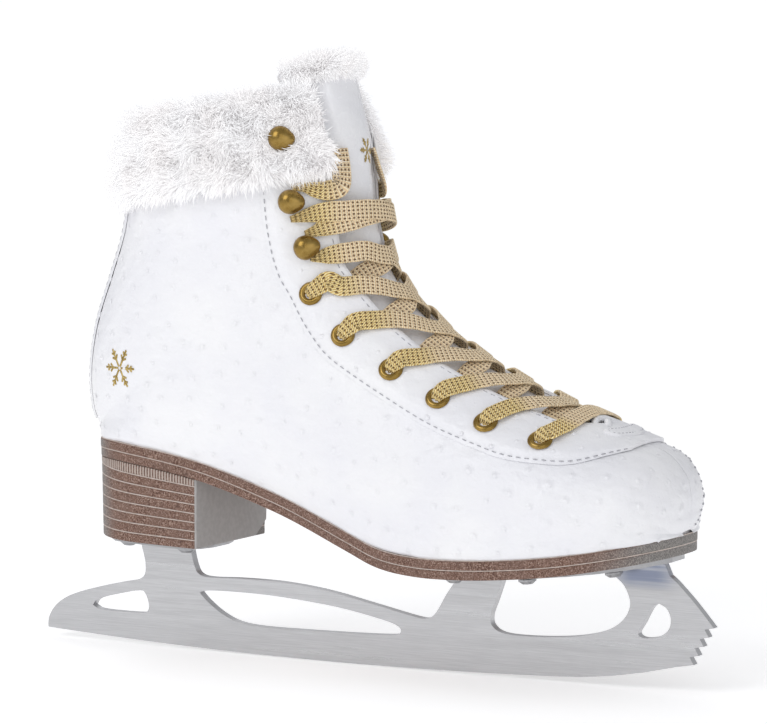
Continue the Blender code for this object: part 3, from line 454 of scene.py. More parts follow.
def lace_look():
    """A flat gold weave with rows of small dark holes. Near the eyelets its colour carries a painted gold sheen, and
    it is a little metallic there.

    The weave attribute holds millimetres along and across, and the share of painted sheen there.
    """
    look = Look("gold_lace", (0.8, 0.62, 0.34), 0.5, 0.05, **{"Sheen Weight": 0.05, "Specular IOR Level": 0.5})
    split = look.node("ShaderNodeSeparateXYZ", {0: look.attribute("weave", "Vector")})
    along, across, painted_sheen = split.outputs[0], split.outputs[1], split.outputs[2]
    wave_across = look.math("COSINE", look.math("MULTIPLY", across, 2 * math.pi / LACE_ROW))
    wave_along = look.math("COSINE", look.math("MULTIPLY", along, 2 * math.pi / LACE_PITCH))
    hole = look.math("ADD", wave_across, wave_along)
    rib = look.math("SINE", look.math("MULTIPLY", along, 2 * math.pi / (LACE_PITCH / 2)))
    beige = look.mix(look.span(rib, -0.8, 0.8), (0.86, 0.62, 0.36), (0.97, 0.83, 0.58))
    slant = look.math("SINE", look.math("MULTIPLY", look.math("ADD", along, across), 2 * math.pi / 1.1))
    gold = look.mix(look.span(slant, -0.7, 0.7), (0.68, 0.44, 0.12), (1.0, 0.86, 0.47))
    # Painted sheen: the thread turns from beige to bright gold near the eyelets, where it catches the light.
    thread = look.mix(painted_sheen, beige, gold)
    # Painted shade: the holes of the weave are coloured dark brown for the shade seen through them.
    inside = look.span(look.math("ABSOLUTE", across), 3.2, 3.5, 1.0, 0.0)
    dark = look.math("MULTIPLY", look.span(hole, 0.55, 1.35), inside)
    look.set("Base Color", look.mix(look.math("MULTIPLY", dark, 0.85), thread, (0.17, 0.07, 0.02)))
    look.set("Metallic", look.math("MULTIPLY", painted_sheen, 0.25))
    return look.bump((look.math("MULTIPLY", dark, -1.0), 0.45), (rib, 0.12), (slant, 0.08))


def thread_look():
    look = Look("grey_thread", (0.42, 0.42, 0.45), 0.7)
    twist = look.noise(2600.0, 2.0)
    look.set("Base Color", look.mix(look.span(twist, 0.35, 0.65), (0.34, 0.34, 0.37), (0.55, 0.55, 0.58)))
    return look.bump((twist, 0.05))


def foil_look():
    look = Look("gold_foil", (0.5, 0.37, 0.13), 0.3, 0.9)
    wear = look.noise(700.0, 3.0)
    look.set("Base Color", look.mix(look.span(wear, 0.35, 0.7), (0.36, 0.25, 0.07), (0.60, 0.45, 0.17)))
    look.set("Roughness", look.span(wear, 0.3, 0.7, 0.22, 0.42))
    return look


LEATHER_LOOK = leather_look("white_leather", 0.36, 1.0)
TONGUE_LOOK = leather_look("tongue_leather", 0.24, 0.7)
FUR_LOOK, FLEECE_LOOK, LACE_LOOK, BRASS_LOOK = fur_look(), fleece_look(), lace_look(), brass_look()
SOLE_LOOK, RIBBED_LOOK, THREAD_LOOK, FOIL_LOOK = sole_look(), ribbed_look(), thread_look(), foil_look()
PALE_LINE_LOOK = plain_board_look("pale_line", (0.50, 0.42, 0.37), (0.62, 0.54, 0.49))
BREAST_LOOK = plain_board_look("heel_breast", (0.36, 0.345, 0.335), (0.40, 0.385, 0.375))
BOARD_LOOK = plain_board_look("fibre_board", (0.50, 0.40, 0.30), (0.60, 0.50, 0.38))
# Painted shade: the dark discs that stand in the eyelets' bores, where only shade shows.
BORE_SHADE_LOOK = plain_board_look("painted_bore_shade", (0.035, 0.022, 0.012), (0.07, 0.042, 0.022))
PLATE_LOOK = steel_look("brushed_steel", (0.42, 0.42, 0.43))
BLADE_LOOK = steel_look("blade_steel", (0.56, 0.56, 0.57), burnished=True)


# ---- Making pieces -------------------------------------------------------------------------------
def add_piece(name, mesh, look, body="boot", replaces=()):
    """Puts a finished mesh in the scene, on its body."""
    piece = bpy.data.objects.new(name, mesh)
    bpy.context.scene.collection.objects.link(piece)
    mesh.materials.append(look.material)
    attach(piece, body)
    if replaces:
        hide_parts(*replaces)
    return piece


def mesh_of(name, points, faces, sharp=None):
    """A smooth-shaded mesh from points in millimetres. Edges over sharp degrees stay sharp."""
    mesh = bpy.data.meshes.new(name)
    mesh.from_pydata((np.asarray(points).reshape(-1, 3) * MM).tolist(), [], faces)
    mesh.shade_smooth()
    if sharp:
        mesh.set_sharp_from_angle(angle=math.radians(sharp))
    return mesh


def grid_faces(rows, columns, offset=0, wrap=False):
    """Quads over a grid of points. wrap joins the last column to the first."""
    i, j = np.meshgrid(np.arange(rows - 1), np.arange(columns if wrap else columns - 1), indexing="ij")
    k = (j + 1) % columns
    quads = np.stack([i * columns + j, i * columns + k, (i + 1) * columns + k, (i + 1) * columns + j], -1)
    return (quads.reshape(-1, 4) + offset).tolist()


def shell_mesh(name, near, far, flip=False):
    """A closed sheet between two grids of points of the same shape."""
    rows, columns = near.shape[:2]
    count = rows * columns
    faces = grid_faces(rows, columns) + [face[::-1] for face in grid_faces(rows, columns, count)]
    corner = np.arange(count).reshape(rows, columns)
    rim = np.r_[corner[0, :-1], corner[:-1, -1], corner[-1, :0:-1], corner[:0:-1, 0]].tolist()
    for a, b in zip(rim, rim[1:] + rim[:1]):
        faces.append([b, a, a + count, b + count])
    if flip:
        faces = [face[::-1] for face in faces]
    return mesh_of(name, np.concatenate([near.reshape(-1, 3), far.reshape(-1, 3)]), faces, 50)


def tube_mesh(name, rings, sharp=None):
    """A closed solid through a run of rings, an array of (ring, point, xyz)."""
    count, around = rings.shape[:2]
    faces = grid_faces(count, around, wrap=True)
    faces = [face[::-1] for face in faces]
    faces.append(list(range(around)))
    faces.append(list(range((count - 1) * around, count * around))[::-1])
    return mesh_of(name, rings, faces, sharp)


def joined(name, parts):
    """One mesh from (points, faces) parts, whose points are in millimetres."""
    points, faces, offset = [], [], 0
    for more, polygons in parts:
        points.append(np.asarray(more).reshape(-1, 3))
        faces += [[i + offset for i in face] for face in polygons]
        offset += len(points[-1])
    return mesh_of(name, np.concatenate(points), faces)


LATHE_SHARP = 50.0  # edges bent by more degrees than this stay sharp


def lathe_mesh(name, profile, steps=48, ring=False):
    """A turned solid from (radius, height) points that run down the outer side."""
    shape = bmesh.new()
    knots = [shape.verts.new((r * MM, 0.0, h * MM)) for r, h in profile]
    pairs = list(zip(knots, knots[1:])) + ([(knots[-1], knots[0])] if ring else [])
    edges = [shape.edges.new(pair) for pair in pairs]
    bmesh.ops.spin(
        shape, geom=knots + edges, cent=(0, 0, 0), axis=(0, 0, 1), angle=2 * math.pi, steps=steps, use_merge=True
    )
    bmesh.ops.remove_doubles(shape, verts=shape.verts, dist=1e-7)
    bmesh.ops.recalc_face_normals(shape, faces=shape.faces)
    shape.verts.index_update()
    points = [vertex.co[:] for vertex in shape.verts]
    faces = [[vertex.index for vertex in face.verts] for face in shape.faces]
    shape.free()
    # The merge leaves the faces in no fixed order, so each starts at its lowest vertex and they are sorted.
    starts = [face.index(min(face)) for face in faces]
    mesh = bpy.data.meshes.new(name)
    mesh.from_pydata(points, [], sorted(face[k:] + face[:k] for face, k in zip(faces, starts)))
    mesh.shade_smooth()
    mesh.set_sharp_from_angle(angle=math.radians(LATHE_SHARP))
    return mesh


def rounded_profile(points, steps=4):
    """The profile with its inner corners rounded by a smooth curve."""
    return [tuple(p) for p in spline(points, np.linspace(0, len(points) - 1, (len(points) - 1) * steps + 1))]


# ---- Quill marks ---------------------------------------------------------------------------------
QUILL_SPACING = 8.5
SEAM_T = np.linspace(4.4, BOOT_TOP, 160)
SEAM_Q = q_at_curve(SEAM_T, FACING_SEAM)


def place_quills(side, rng):
    """Where the quill marks of one side lie: scattered evenly, clear of seams and thinner on the facing."""
    tries = 5200
    t = rng.uniform(0.8, COLLAR_LOW + 0.3, tries)
    start = q_throat(t)
    q = start + 0.05 + (0.95 - start) * rng.uniform(0, 1, tries)
    seam = np.interp(t, SEAM_T, SEAM_Q)
    on_facing = q < seam
    keep = (np.abs(q - seam) > 0.035) & (q < np.where(t > HEEL_STATION, 0.86, 0.965))
    keep &= ~on_facing | ((q > start + 0.08) & (rng.uniform(0, 1, tries) < 0.3))
    t, q, on_facing = t[keep], q[keep], on_facing[keep]
    centre = skin(t, q, side)
    chosen = []
    for i in range(len(t)):
        if all(np.linalg.norm(centre[chosen] - centre[i], axis=1) > QUILL_SPACING) if chosen else True:
            chosen.append(i)
    normal = unit(skin(t, q, side, 1.0) - centre)
    up = skin(t + 0.03, q, side) - centre
    up = unit(up - normal * np.sum(up * normal, 1, keepdims=True))
    count = len(chosen)
    return {
        "t": t[chosen], "q": q[chosen], "centre": centre[chosen], "normal": normal[chosen],
        "up": up[chosen], "on_facing": on_facing[chosen],
        "size": rng.uniform(0.85, 1.45, count), "turn": rng.uniform(-0.9, 0.9, count) + np.pi / 2,
        "tail": rng.uniform(0.3, 1.3, count),
    }


def quill_dents(points, quills):
    """The leather's height round its quill marks: each is ringed by a dent with a tail on one side."""
    height = np.zeros(points.shape[:-1])
    for centre, normal, up, turn, size, tail, on_facing in zip(*(quills[key] for key in (
            "centre", "normal", "up", "turn", "size", "tail", "on_facing"))):
        if on_facing:
            continue
        away = points - centre
        near = np.abs(away).max(-1) < 6.0
        flat = away[near]
        x, y = flat @ up, flat @ np.cross(normal, up)
        r = np.hypot(x, y) / size
        along = (x * np.cos(turn) + y * np.sin(turn)) / size
        reach = 1.55 + 0.9 * tail * np.clip(along / np.maximum(r, 0.1), 0, 1) ** 2
        height[near] += 0.3 * np.exp(-((r / 1.1) ** 2)) - 0.16 * np.exp(-(((r - reach) / 0.9) ** 2))
    return height


def quill_dome(centre, normal, up, size, turn, tail):
    """(points, faces) of the low oval dome in the middle of a quill mark."""
    rings, around = 5, 12
    r = np.linspace(0, 1, rings)[1:]
    a = np.linspace(0, 2 * np.pi, around, endpoint=False)
    side = np.cross(normal, up)
    reach = 0.85 * size * (1 + 0.6 * tail * np.maximum(np.cos(a - turn), 0) ** 3)
    height = 0.34 * np.sqrt(size) * np.cos(np.pi / 2 * r) ** 2 - 0.05
    flat = (r[:, None] * reach)[..., None] * (np.cos(a)[:, None] * up + np.sin(a)[:, None] * side)
    points = centre + flat + height[:, None, None] * normal
    points = np.concatenate([[centre + (0.34 * np.sqrt(size)) * normal], points.reshape(-1, 3)])
    faces = [[0, 1 + (j + 1) % around, 1 + j] for j in range(around)]
    return points, faces + [[i + 1 for i in face] for face in grid_faces(rings - 1, around, wrap=True)]


# ---- Upper ---------------------------------------------------------------------------------------
def ripple(points):
    """A slow unevenness of hand-lasted leather, from -1 to 1."""
    x, y, z = np.moveaxis(points, -1, 0)
    return (np.sin(x / 17 + y / 23) + np.sin(z / 13 - x / 29 + 1.7) + np.sin(x / 41 + z / 31 + y / 11)) / 3


def toe_seam(t):
    """How far to the inner side of the ridge the toe's seam runs."""
    return 16.0 * np.sqrt(ease(0.0, 2.0, t))


def panel_lift(t, q, side):
    """How far the outer leather stands off the form: uneven, fuller above the sole, flatter at the toe."""
    flat = skin(t, q, side)
    across = side * (flat[..., 1] - swing(flat[..., 0]))
    fuller = 1.1 * ease(0.85, 0.955, q) - 0.5 * ease(0.985, 1.0, q)
    toe_only = ease(0.3, 1.5, t) * (1 - ease(3.0, 4.2, t))
    nose = 1.5 * toe_only * (1 - ease(20.0, 36.0, across)) * (1 - ease(0.7, 0.95, q))
    lift = 0.25 * ripple(flat) * ease(0.0, 6.0, across) + fuller * (t < HEEL_STATION) - nose
    if side > 0:
        lift -= 0.3 * np.exp(-(((across - toe_seam(t)) / 1.4) ** 2)) * (t < 4.5)
    return lift


def build_panels():
    """The outer leather of each side, from lacing edge to sole, with quill marks and a turned-in edge."""
    rng = np.random.default_rng(11)
    ts = even_rows(0.0, BOOT_TOP, 1.0)
    start = q_throat(ts)[:, None]
    q = start + (1 - start) * np.linspace(0, 1, 150)
    t = np.broadcast_to(ts[:, None], q.shape)
    for name, side in SIDES:
        quills = place_quills(side, rng)
        lift = panel_lift(t, q, side)
        lift += quill_dents(skin(t, q, side), quills)
        near = skin(t, q, side, lift)
        rims = [skin(t[:, :1], q[:, :1], side, lift[:, :1] + out) for out in (-LEATHER, -0.5 * LEATHER, -0.2)]
        points = np.concatenate([*rims, near], axis=1)
        faces = grid_faces(*points.shape[:2])
        mesh = mesh_of(f"{name}_side_leather", points, faces if side < 0 else [face[::-1] for face in faces])
        node = f"{name}_side_panel"
        add_piece(f"{name}_side_leather", mesh, LEATHER_LOOK, replaces=[node])
        domes = []
        for i in range(len(quills["size"])):
            centre, normal = quills["centre"][i], quills["normal"][i]
            under = panel_lift(quills["t"][i], quills["q"][i], side) + 0.2
            out = FACING_TOP - 0.02 if quills["on_facing"][i] else float(under)
            more = [quills[key][i] for key in ("up", "size", "turn", "tail")]
            domes.append(quill_dome(centre + normal * out, normal, *more))
        add_piece(f"{name}_quills", joined(f"{name}_quills", domes), LEATHER_LOOK)


def facing_columns(ts):
    """For each station, the throat edge's q and the facing's outer edge's q."""
    low = q_throat(ts)
    return low, np.maximum(q_at_curve(ts, FACING_SEAM), low + 0.02)


def build_facings():
    """The lacing panels, which thin out to the stitched seam at their outer edge."""
    ts = even_rows(4.5, BOOT_TOP, 1.4, q=0.3)
    low, high = facing_columns(ts)
    v = np.linspace(0, 1, 40)
    q = low[:, None] + (high - low)[:, None] * v
    t = np.broadcast_to(ts[:, None], q.shape)
    lacing_edge = 0.7 * (1 - ease(0.0, 0.06, v)) * ease(5.4, 5.8, t)
    roll = FACING_TOP - lacing_edge - 1.35 * ease(0.80, 1.0, v)
    for name, side in SIDES:
        near = skin(t, q, side, roll + 0.12 * ripple(skin(t, q, side)))
        mesh = shell_mesh(f"{name}_lacing_panel", near, skin(t, q, side, GAP), side < 0)
        add_piece(f"{name}_lacing_panel", mesh, LEATHER_LOOK, replaces=[f"{name}_facing"])


def stay_edge(t, share=1.0):
    """q of the back stay's edge: it widens from the heel to the top."""
    half_wide = (11.0 + 6.0 * ease(15.0, 20.0, t)) * share
    q = np.linspace(0.6, 1.0, 400)
    return np.array([np.interp(-wide, -form(one, q)[:, 1], q) for one, wide in zip(t, half_wide)])


def build_back_stay():
    ts = even_rows(15.2, BOOT_TOP, 2.0, q=0.95)
    edge = stay_edge(ts)[:, None]
    v = np.linspace(-1, 1, 31)
    q = 1 - (1 - edge) * np.abs(v)
    t = np.broadcast_to(ts[:, None], q.shape)
    side = np.where(v >= 0, 1, -1)
    thick = 0.45 + 0.75 * (1 - ease(0.86, 1.0, np.abs(v)))
    mesh = shell_mesh("back_strip", skin(t, q, side, thick), skin(t, q, side, 0.2), True)
    add_piece("back_strip", mesh, LEATHER_LOOK, replaces=["back_stay"])


def on_ridge(t, breadth, out):
    """Points over the boot, breadth to the left, or right if negative, of the ridge."""
    return skin(t, q_at_breadth(t, np.abs(breadth)), np.where(breadth >= 0, 1, -1), out)


TAB_REACH, TAB_HALF_WIDTH = 13.5, 0.21


def tab_middle(breadth):
    """The station of the throat tab's middle line, which bends round the front of the throat."""
    return 4.98 + 0.22 * (breadth / TAB_REACH) ** 2


def build_throat():
    """The tab sewn round the front of the throat, and the tongue's folds that bunch up behind it."""
    u, v = np.meshgrid(np.linspace(-1, 1, 61), np.linspace(-1, 1, 13), indexing="ij")
    narrow = np.sqrt(np.clip(1 - np.clip((np.abs(u) - 0.78) / 0.22, 0, 1) ** 2, 0.02, 1))
    t = tab_middle(u * TAB_REACH) + TAB_HALF_WIDTH * v * narrow
    out = FACING_TOP + 0.3 + 0.55 * (1 - np.abs(v) ** 4)
    near, far = on_ridge(t, u * TAB_REACH, out), on_ridge(t, u * TAB_REACH, FACING_TOP - 0.2)
    mesh = shell_mesh("throat_tab_leather", near, far, True)
    add_piece("throat_tab_leather", mesh, LEATHER_LOOK, replaces=["throat_tab"])
    folds = []
    across = np.linspace(-1, 1, 33)
    for t0, reach, radius in ((5.52, 8.0, 1.5), (5.70, 10.5, 1.5), (5.88, 12.0, 1.3), (6.06, 12.5, 1.1)):
        t = t0 + 0.10 * np.sin(3.0 * across + 7.0 * t0)
        line = on_ridge(t, reach * across, FACING_TOP - 0.3 - 1.2 * np.abs(across) ** 2)
        folds.append(bent_tube(line, radius * (1 - 0.6 * np.abs(across) ** 3)))
    add_piece("throat_folds", joined("throat_folds", folds), LEATHER_LOOK)


def bent_tube(line, radius, around=12):
    """(points, faces) of a round tube along a line of points."""
    along = unit(np.gradient(line, axis=0))
    up = unit(np.cross(along, [0.0, 1.0, 0.3]))
    across = np.cross(along, up)
    angle = np.linspace(0, 2 * np.pi, around, endpoint=False)
    radius = np.broadcast_to(radius, len(line))[:, None, None]
    ring = np.cos(angle)[None, :, None] * up[:, None] + np.sin(angle)[None, :, None] * across[:, None]
    points = line[:, None] + ring * radius
    count = len(line)
    faces = [face[::-1] for face in grid_faces(count, around, wrap=True)]
    faces.append(list(range(around)))
    faces.append(list(range((count - 1) * around, count * around))[::-1])
    return points.reshape(-1, 3), faces


# ---- Stitches ------------------------------------------------------------------------------------
def stitch_row(line, length=1.9, pitch=3.3, radius=0.24):
    """(points, faces) of stitches along a line of points, each rounded off where it dips into the leather."""
    distance = np.r_[0, np.cumsum(np.linalg.norm(np.diff(line, axis=0), axis=1))]
    parts = []
    for start in np.arange(pitch / 2, distance[-1] - length, pitch):
        places = start + length * np.array([0.0, 0.12, 0.5, 0.88, 1.0])
        run = np.stack([np.interp(places, distance, line[:, k]) for k in range(3)], -1)
        parts.append(bent_tube(run, radius * np.array([0.35, 0.85, 1.0, 0.85, 0.35]), 6))
    return parts


def q_per_mm(t, q):
    """How much q changes over a millimetre round the section."""
    step = 0.002
    return 2 * step / np.linalg.norm(form(t, q + step) - form(t, q - step), axis=-1)


def build_stitches():
    """Grey thread along the facings' two edges, the toe's seam, the back stay and the throat tab."""
    ts = even_rows(4.52, COLLAR_LOW + 0.5, 1.0, q=0.3)
    low, high = facing_columns(ts)
    laced = ts > THROAT_FRONT + 0.25
    toe, back = even_rows(0.3, 4.3, 1.0, q=0.0), even_rows(15.4, COLLAR_LOW + 0.3, 1.0, q=0.95)
    for name, side in SIDES:
        seam = skin(ts, high - 1.5 * q_per_mm(ts, high), side, FACING_TOP - 0.85)
        edge = skin(ts[laced], low[laced] + 2.6 * q_per_mm(ts[laced], low[laced]), side, FACING_TOP)
        parts = stitch_row(seam) + stitch_row(edge)
        parts += stitch_row(skin(back, stay_edge(back, 0.84), side, 1.2))
        if side > 0:
            q = q_at_breadth(toe, toe_seam(toe) + 0.2)
            parts += stitch_row(skin(toe, q, side, panel_lift(toe, q, side) + 0.3), 1.0, 2.9, 0.36)
        add_piece(f"{name}_stitches", joined(f"{name}_stitches", parts), THREAD_LOOK)
    turn = np.linspace(0, 2 * np.pi, 120)
    breadth = (TAB_REACH - 1.2) * np.sign(np.cos(turn)) * np.abs(np.cos(turn)) ** 0.25
    t = tab_middle(breadth) + (TAB_HALF_WIDTH - 0.07) * np.sign(np.sin(turn)) * np.abs(np.sin(turn)) ** 0.6
    border = on_ridge(t, breadth, FACING_TOP + 0.72)
    mesh = joined("tab_stitches", stitch_row(border, 1.2, 2.0, 0.2))
    add_piece("tab_stitches", mesh, THREAD_LOOK)


# ---- Fur -----------------------------------------------------------------------------------------
def scatter(piece_mesh, count, rng):
    """Random points spread evenly over a mesh's area, with their normals, in millimetres."""
    piece_mesh.calc_loop_triangles()
    tris = np.empty(len(piece_mesh.loop_triangles) * 3, np.int32)
    piece_mesh.loop_triangles.foreach_get("vertices", tris)
    co = np.empty(len(piece_mesh.vertices) * 3, np.float32)
    piece_mesh.vertices.foreach_get("co", co)
    normals = np.array([n.vector[:] for n in piece_mesh.vertex_normals])
    corners, tris = co.reshape(-1, 3) / MM, tris.reshape(-1, 3)
    a, b, c = (corners[tris[:, k]] for k in range(3))
    area = np.linalg.norm(np.cross(b - a, c - a), axis=1)
    pick = rng.choice(len(tris), count, p=area / area.sum())
    u, v = rng.uniform(0, 1, (2, count, 1))
    u, v = np.where(u + v > 1, 1 - u, u), np.where(u + v > 1, 1 - v, v)
    places = a[pick] + u * (b - a)[pick] + v * (c - a)[pick]
    na, nb, nc = (normals[tris[pick, k]] for k in range(3))
    return places, unit(na + u * (nb - na) + v * (nc - na))


def tuft_lean(points, scale=5.5):
    """A slowly changing sideways lean, the same for neighbouring hairs, so that the pile falls in tufts."""
    x, y, z = np.moveaxis(points / scale, -1, 0)
    return np.stack([
        np.sin(1.7 * y + 2.1 * z + 0.7 * np.sin(x)),
        np.sin(1.9 * z + 1.3 * x + 2.0),
        np.sin(2.2 * x + 1.1 * y + 4.0),
    ], -1)


def hairs(
    name, roots, normals, length, fall, rng, width=0.42, spread=0.26, tuft=0.5, body="boot", replaces=(),
):
    """A piece of pile: each hair is a thin blade that tapers and bends the way it falls."""
    count = len(roots)
    start = unit(normals + spread * rng.normal(0, 1, (count, 3)) + tuft * tuft_lean(roots))
    long = (length * rng.uniform(0.65, 1.15, count))[:, None]
    across = unit(np.cross(start, rng.normal(0, 1, (count, 3)))) * (width / 2)
    droop = np.asarray(fall, float) + 0.3 * rng.normal(0, 1, (count, 3))
    points = []
    for s, wide in ((0.0, 1.0), (0.4, 0.9), (0.75, 0.6), (1.0, 0.0)):
        middle = roots + start * long * s + droop * long * 0.5 * s * s - normals * 0.4 * (s == 0.0)
        points.append(middle + across * wide)
        if wide:
            points.append(middle - across * wide)
    points = np.stack(points, 1)
    base = (np.arange(count) * 7)[:, None]
    quads = np.concatenate([base + [0, 1, 3, 2], base + [2, 3, 5, 4]])
    faces = quads.tolist() + (base + [4, 5, 6]).tolist()
    mesh = mesh_of(name, points, faces)
    tip = mesh.attributes.new("tip", "FLOAT", "POINT")
    tip.data.foreach_set("value", np.tile([0.0, 0.0, 0.4, 0.4, 0.75, 0.75, 1.0], count).astype(np.float32))
    return add_piece(name, mesh, FUR_LOOK, body, replaces)


def collar_out(u):
    """(station, out) round the collar. u runs from inside its top edge, over the roll, to its lower edge."""
    knots = [
        (23.9, -4.6), (24.4, -4.2), (24.75, -2.6), (24.85, -0.6), (24.65, 1.2), (24.1, 2.9), (23.3, 4.4),
        (22.4, 5.4), (21.7, 5.7), (COLLAR_LOW + 0.2, 4.8), (COLLAR_LOW + 0.1, 2.4),
    ]
    return np.moveaxis(spline(knots, u * (len(knots) - 1)), -1, 0)


def build_collar():
    """The collar's padded core and the pile over it, parted round the top hooks."""
    rng = np.random.default_rng(5)
    u = np.linspace(0, 1, 40)
    v = np.linspace(-1, 1, 121)
    t, out = collar_out(u)
    t, side = np.broadcast_to(t, (121, 40)), np.where(v >= 0, 1, -1)[:, None]
    edge = q_at_breadth(t, THROAT_HALF + 0.3)
    ends = ease(0.93, 1.0, np.abs(v))[:, None]
    q = 1 - (1 - edge) * np.abs(v)[:, None]
    puff = 0.7 * ripple(skin(t, q, side) * 2.4)
    near = skin(t, q, side, out + (puff - 2.2 * ends) * (out > 2.0))
    hooks = [node_centre(f"{name}_hook_3") for name, _ in SIDES]
    outward = unit(skin(t, q, side, 1.0) - skin(t, q, side, 0.0))
    for hook in hooks:
        away = np.linalg.norm(near - hook, axis=-1, keepdims=True)
        near = near - outward * 3.2 * (1 - ease(4.0, 9.0, away)) * (out > 2.0)[..., None]
    far = skin(t, q, side, np.where(out > 2.0, np.minimum(out - 1.2, 2.4), out + 1.0))
    mesh = shell_mesh("collar_pad", near, far, False)
    add_piece("collar_pad", mesh, FLEECE_LOOK, replaces=["fur_collar"])
    outer = mesh_of("collar_outer", near, [f[::-1] for f in grid_faces(121, 40)][::-1])
    roots, normals = scatter(outer, 60000, rng)
    middle = np.array([-50.0, 0.0, 215.0])
    normals = np.where((np.sum(normals * (roots - middle) * [1, 1, 0.3], 1) < 0)[:, None]
                       & (roots[:, 2] < 221)[:, None], -normals, normals)
    bpy.data.meshes.remove(outer)
    keep = np.ones(len(roots), bool)
    for hook in hooks:
        keep &= np.linalg.norm(roots - hook, axis=1) > 6.3
    roots, normals = roots[keep], normals[keep]
    for name, side in SIDES:
        mine = side * (roots[:, 1] - swing(roots[:, 0])) >= 0
        fall = np.array([0.0, 0.0, -0.45])
        hairs(f"{name}_collar_fur", roots[mine], normals[mine], 5.2, fall, rng)


# ---- Tongue --------------------------------------------------------------------------------------
TONGUE_HALF = 23.5
TONGUE_DEPTH = LEATHER + COUNTER + LINING + 3 * GAP + 0.8
TONGUE_LEATHER, TONGUE_PILE = 2.2, 4.0


def tongue_skin(t, v, out):
    """Points of the tongue, v from -1 at its right edge to 1 at its left. It swells between the facings."""
    t, v = np.broadcast_arrays(np.asarray(t, float), np.asarray(v, float))
    breadth = (TONGUE_HALF - 9.0 * (1 - ease(TONGUE_ROOT, 8.5, t))) * np.abs(v)
    swell = 4.4 - 0.6 * ease(8.0, THROAT_HALF, breadth) - 3.8 * ease(THROAT_HALF, THROAT_HALF + 4.5, breadth)
    swell = swell * ease(TONGUE_ROOT + 0.4, TONGUE_ROOT + 1.6, t)
    tuck = 1.6 * ease(12.0, TONGUE_HALF, breadth)
    lean = 5.0 * ease(20.5, TONGUE_TOP, t) * (1 - ease(11.0, 17.0, breadth))
    dip = 1.0 - ease(TONGUE_ROOT, 8.0, t)
    depth = lean + swell - tuck - dip - TONGUE_DEPTH
    return skin(t, q_at_breadth(t, breadth), np.where(v >= 0, 1, -1), depth + out)


def build_tongue():
    ts = even_rows(TONGUE_ROOT, TONGUE_TOP, 1.8, q=0.1)
    v = np.linspace(-1, 1, 61)
    t, v = np.meshgrid(ts, v, indexing="ij")
    edge = 0.7 * ease(0.93, 1.0, np.abs(v)) + 0.7 * ease(TONGUE_TOP - 0.35, TONGUE_TOP, t)
    puff = 0.25 * ripple(tongue_skin(t, v, 0.0) * 1.6)
    near, far = tongue_skin(t, v, puff - edge), tongue_skin(t, v, edge - TONGUE_LEATHER)
    mesh = shell_mesh("tongue_leather", near, far)
    add_piece("tongue_leather", mesh, TONGUE_LOOK, "tongue", ["tongue"])
    build_tongue_fur(t, v)


def build_tongue_fur(t, v):
    """Pile behind the tongue, and the thick roll of it over the tongue's top edge."""
    rng = np.random.default_rng(8)
    rows = t[:, 0] > 6.5
    t, v = t[rows], v[rows]
    near, far = tongue_skin(t, v, -TONGUE_LEATHER - 0.5), tongue_skin(t, v, -TONGUE_LEATHER - 2.6)
    mesh = shell_mesh("tongue_pad", near, far)
    add_piece("tongue_pad", mesh, FLEECE_LOOK, "tongue", ["tongue_fur"])
    back = mesh_of("tongue_back", far, [f[::-1] for f in grid_faces(*far.shape[:2])])
    roots, normals = scatter(back, 15000, rng)
    bpy.data.meshes.remove(back)
    hairs("tongue_back_fur", roots, normals, 4.0, (0, 0, -0.3), rng, body="tongue")
    across = np.linspace(-0.97, 0.97, 60)
    line = tongue_skin(np.full(60, TONGUE_TOP - 0.05), across, -0.8)
    radius = 3.4 * (1 - 0.25 * np.abs(across) ** 4)
    points, faces = bent_tube(line, radius, 24)
    roll = mesh_of("tongue_roll", points, faces)
    add_piece("tongue_roll", roll, FLEECE_LOOK, "tongue")
    roots, normals = scatter(roll, 14000, rng)
    normals = unit(roots - line[np.argmin(np.linalg.norm(roots[:, None] - line[None], axis=2), axis=1)])
    hairs("tongue_roll_fur", roots, normals, 4.0, (0.1, 0, 0.0), rng, body="tongue")


# ---- Inside --------------------------------------------------------------------------------------
def build_lining():
    near_out = -(LEATHER + COUNTER + 3 * GAP)
    ts = even_rows(1.0, 23.7, 2.4)
    start = np.maximum(q_throat(ts), q_at_breadth(ts, (THROAT_HALF + 4.0) * ease(5.2, 6.1, ts)))[:, None]
    q = start + (1 - start) * np.linspace(0, 1, 60)
    t = np.broadcast_to(ts[:, None], q.shape)
    for name, side in SIDES:
        bumpy = 0.25 * ripple(skin(t, q, side) * 5)
        near, far = skin(t, q, side, near_out), skin(t, q, side, near_out - LINING - bumpy)
        mesh = shell_mesh(f"{name}_fleece_lining", near, far, side < 0)
        add_piece(f"{name}_fleece_lining", mesh, FLEECE_LOOK, replaces=[f"{name}_lining"])


def slab_mesh(name, xs, half, top, bottom, edge=0.35, around=9):
    """A sheet with rounded side edges that follows curved top and bottom lines."""
    rings = []
    for x in xs:
        high, low, wide = float(top(x)), float(bottom(x)), float(half(x))
        turn = np.linspace(-np.pi / 2, np.pi / 2, around)
        middle, tall = (high + low) / 2, (high - low) / 2
        y = wide - edge + edge * np.cos(turn)
        z = middle + tall * np.sign(np.sin(turn)) * np.abs(np.sin(turn)) ** 0.35
        ring = np.r_[np.c_[y, z], np.c_[-y, z][::-1]]
        rings.append(np.c_[np.full(len(ring), x), ring[:, 0] + swing(x), ring[:, 1]])
    return tube_mesh(name, np.array(rings)[:, ::-1], 50)


def end_spread(low, high, count):
    return low + (high - low) * (1 - np.cos(np.pi * np.arange(count) / (count - 1))) / 2


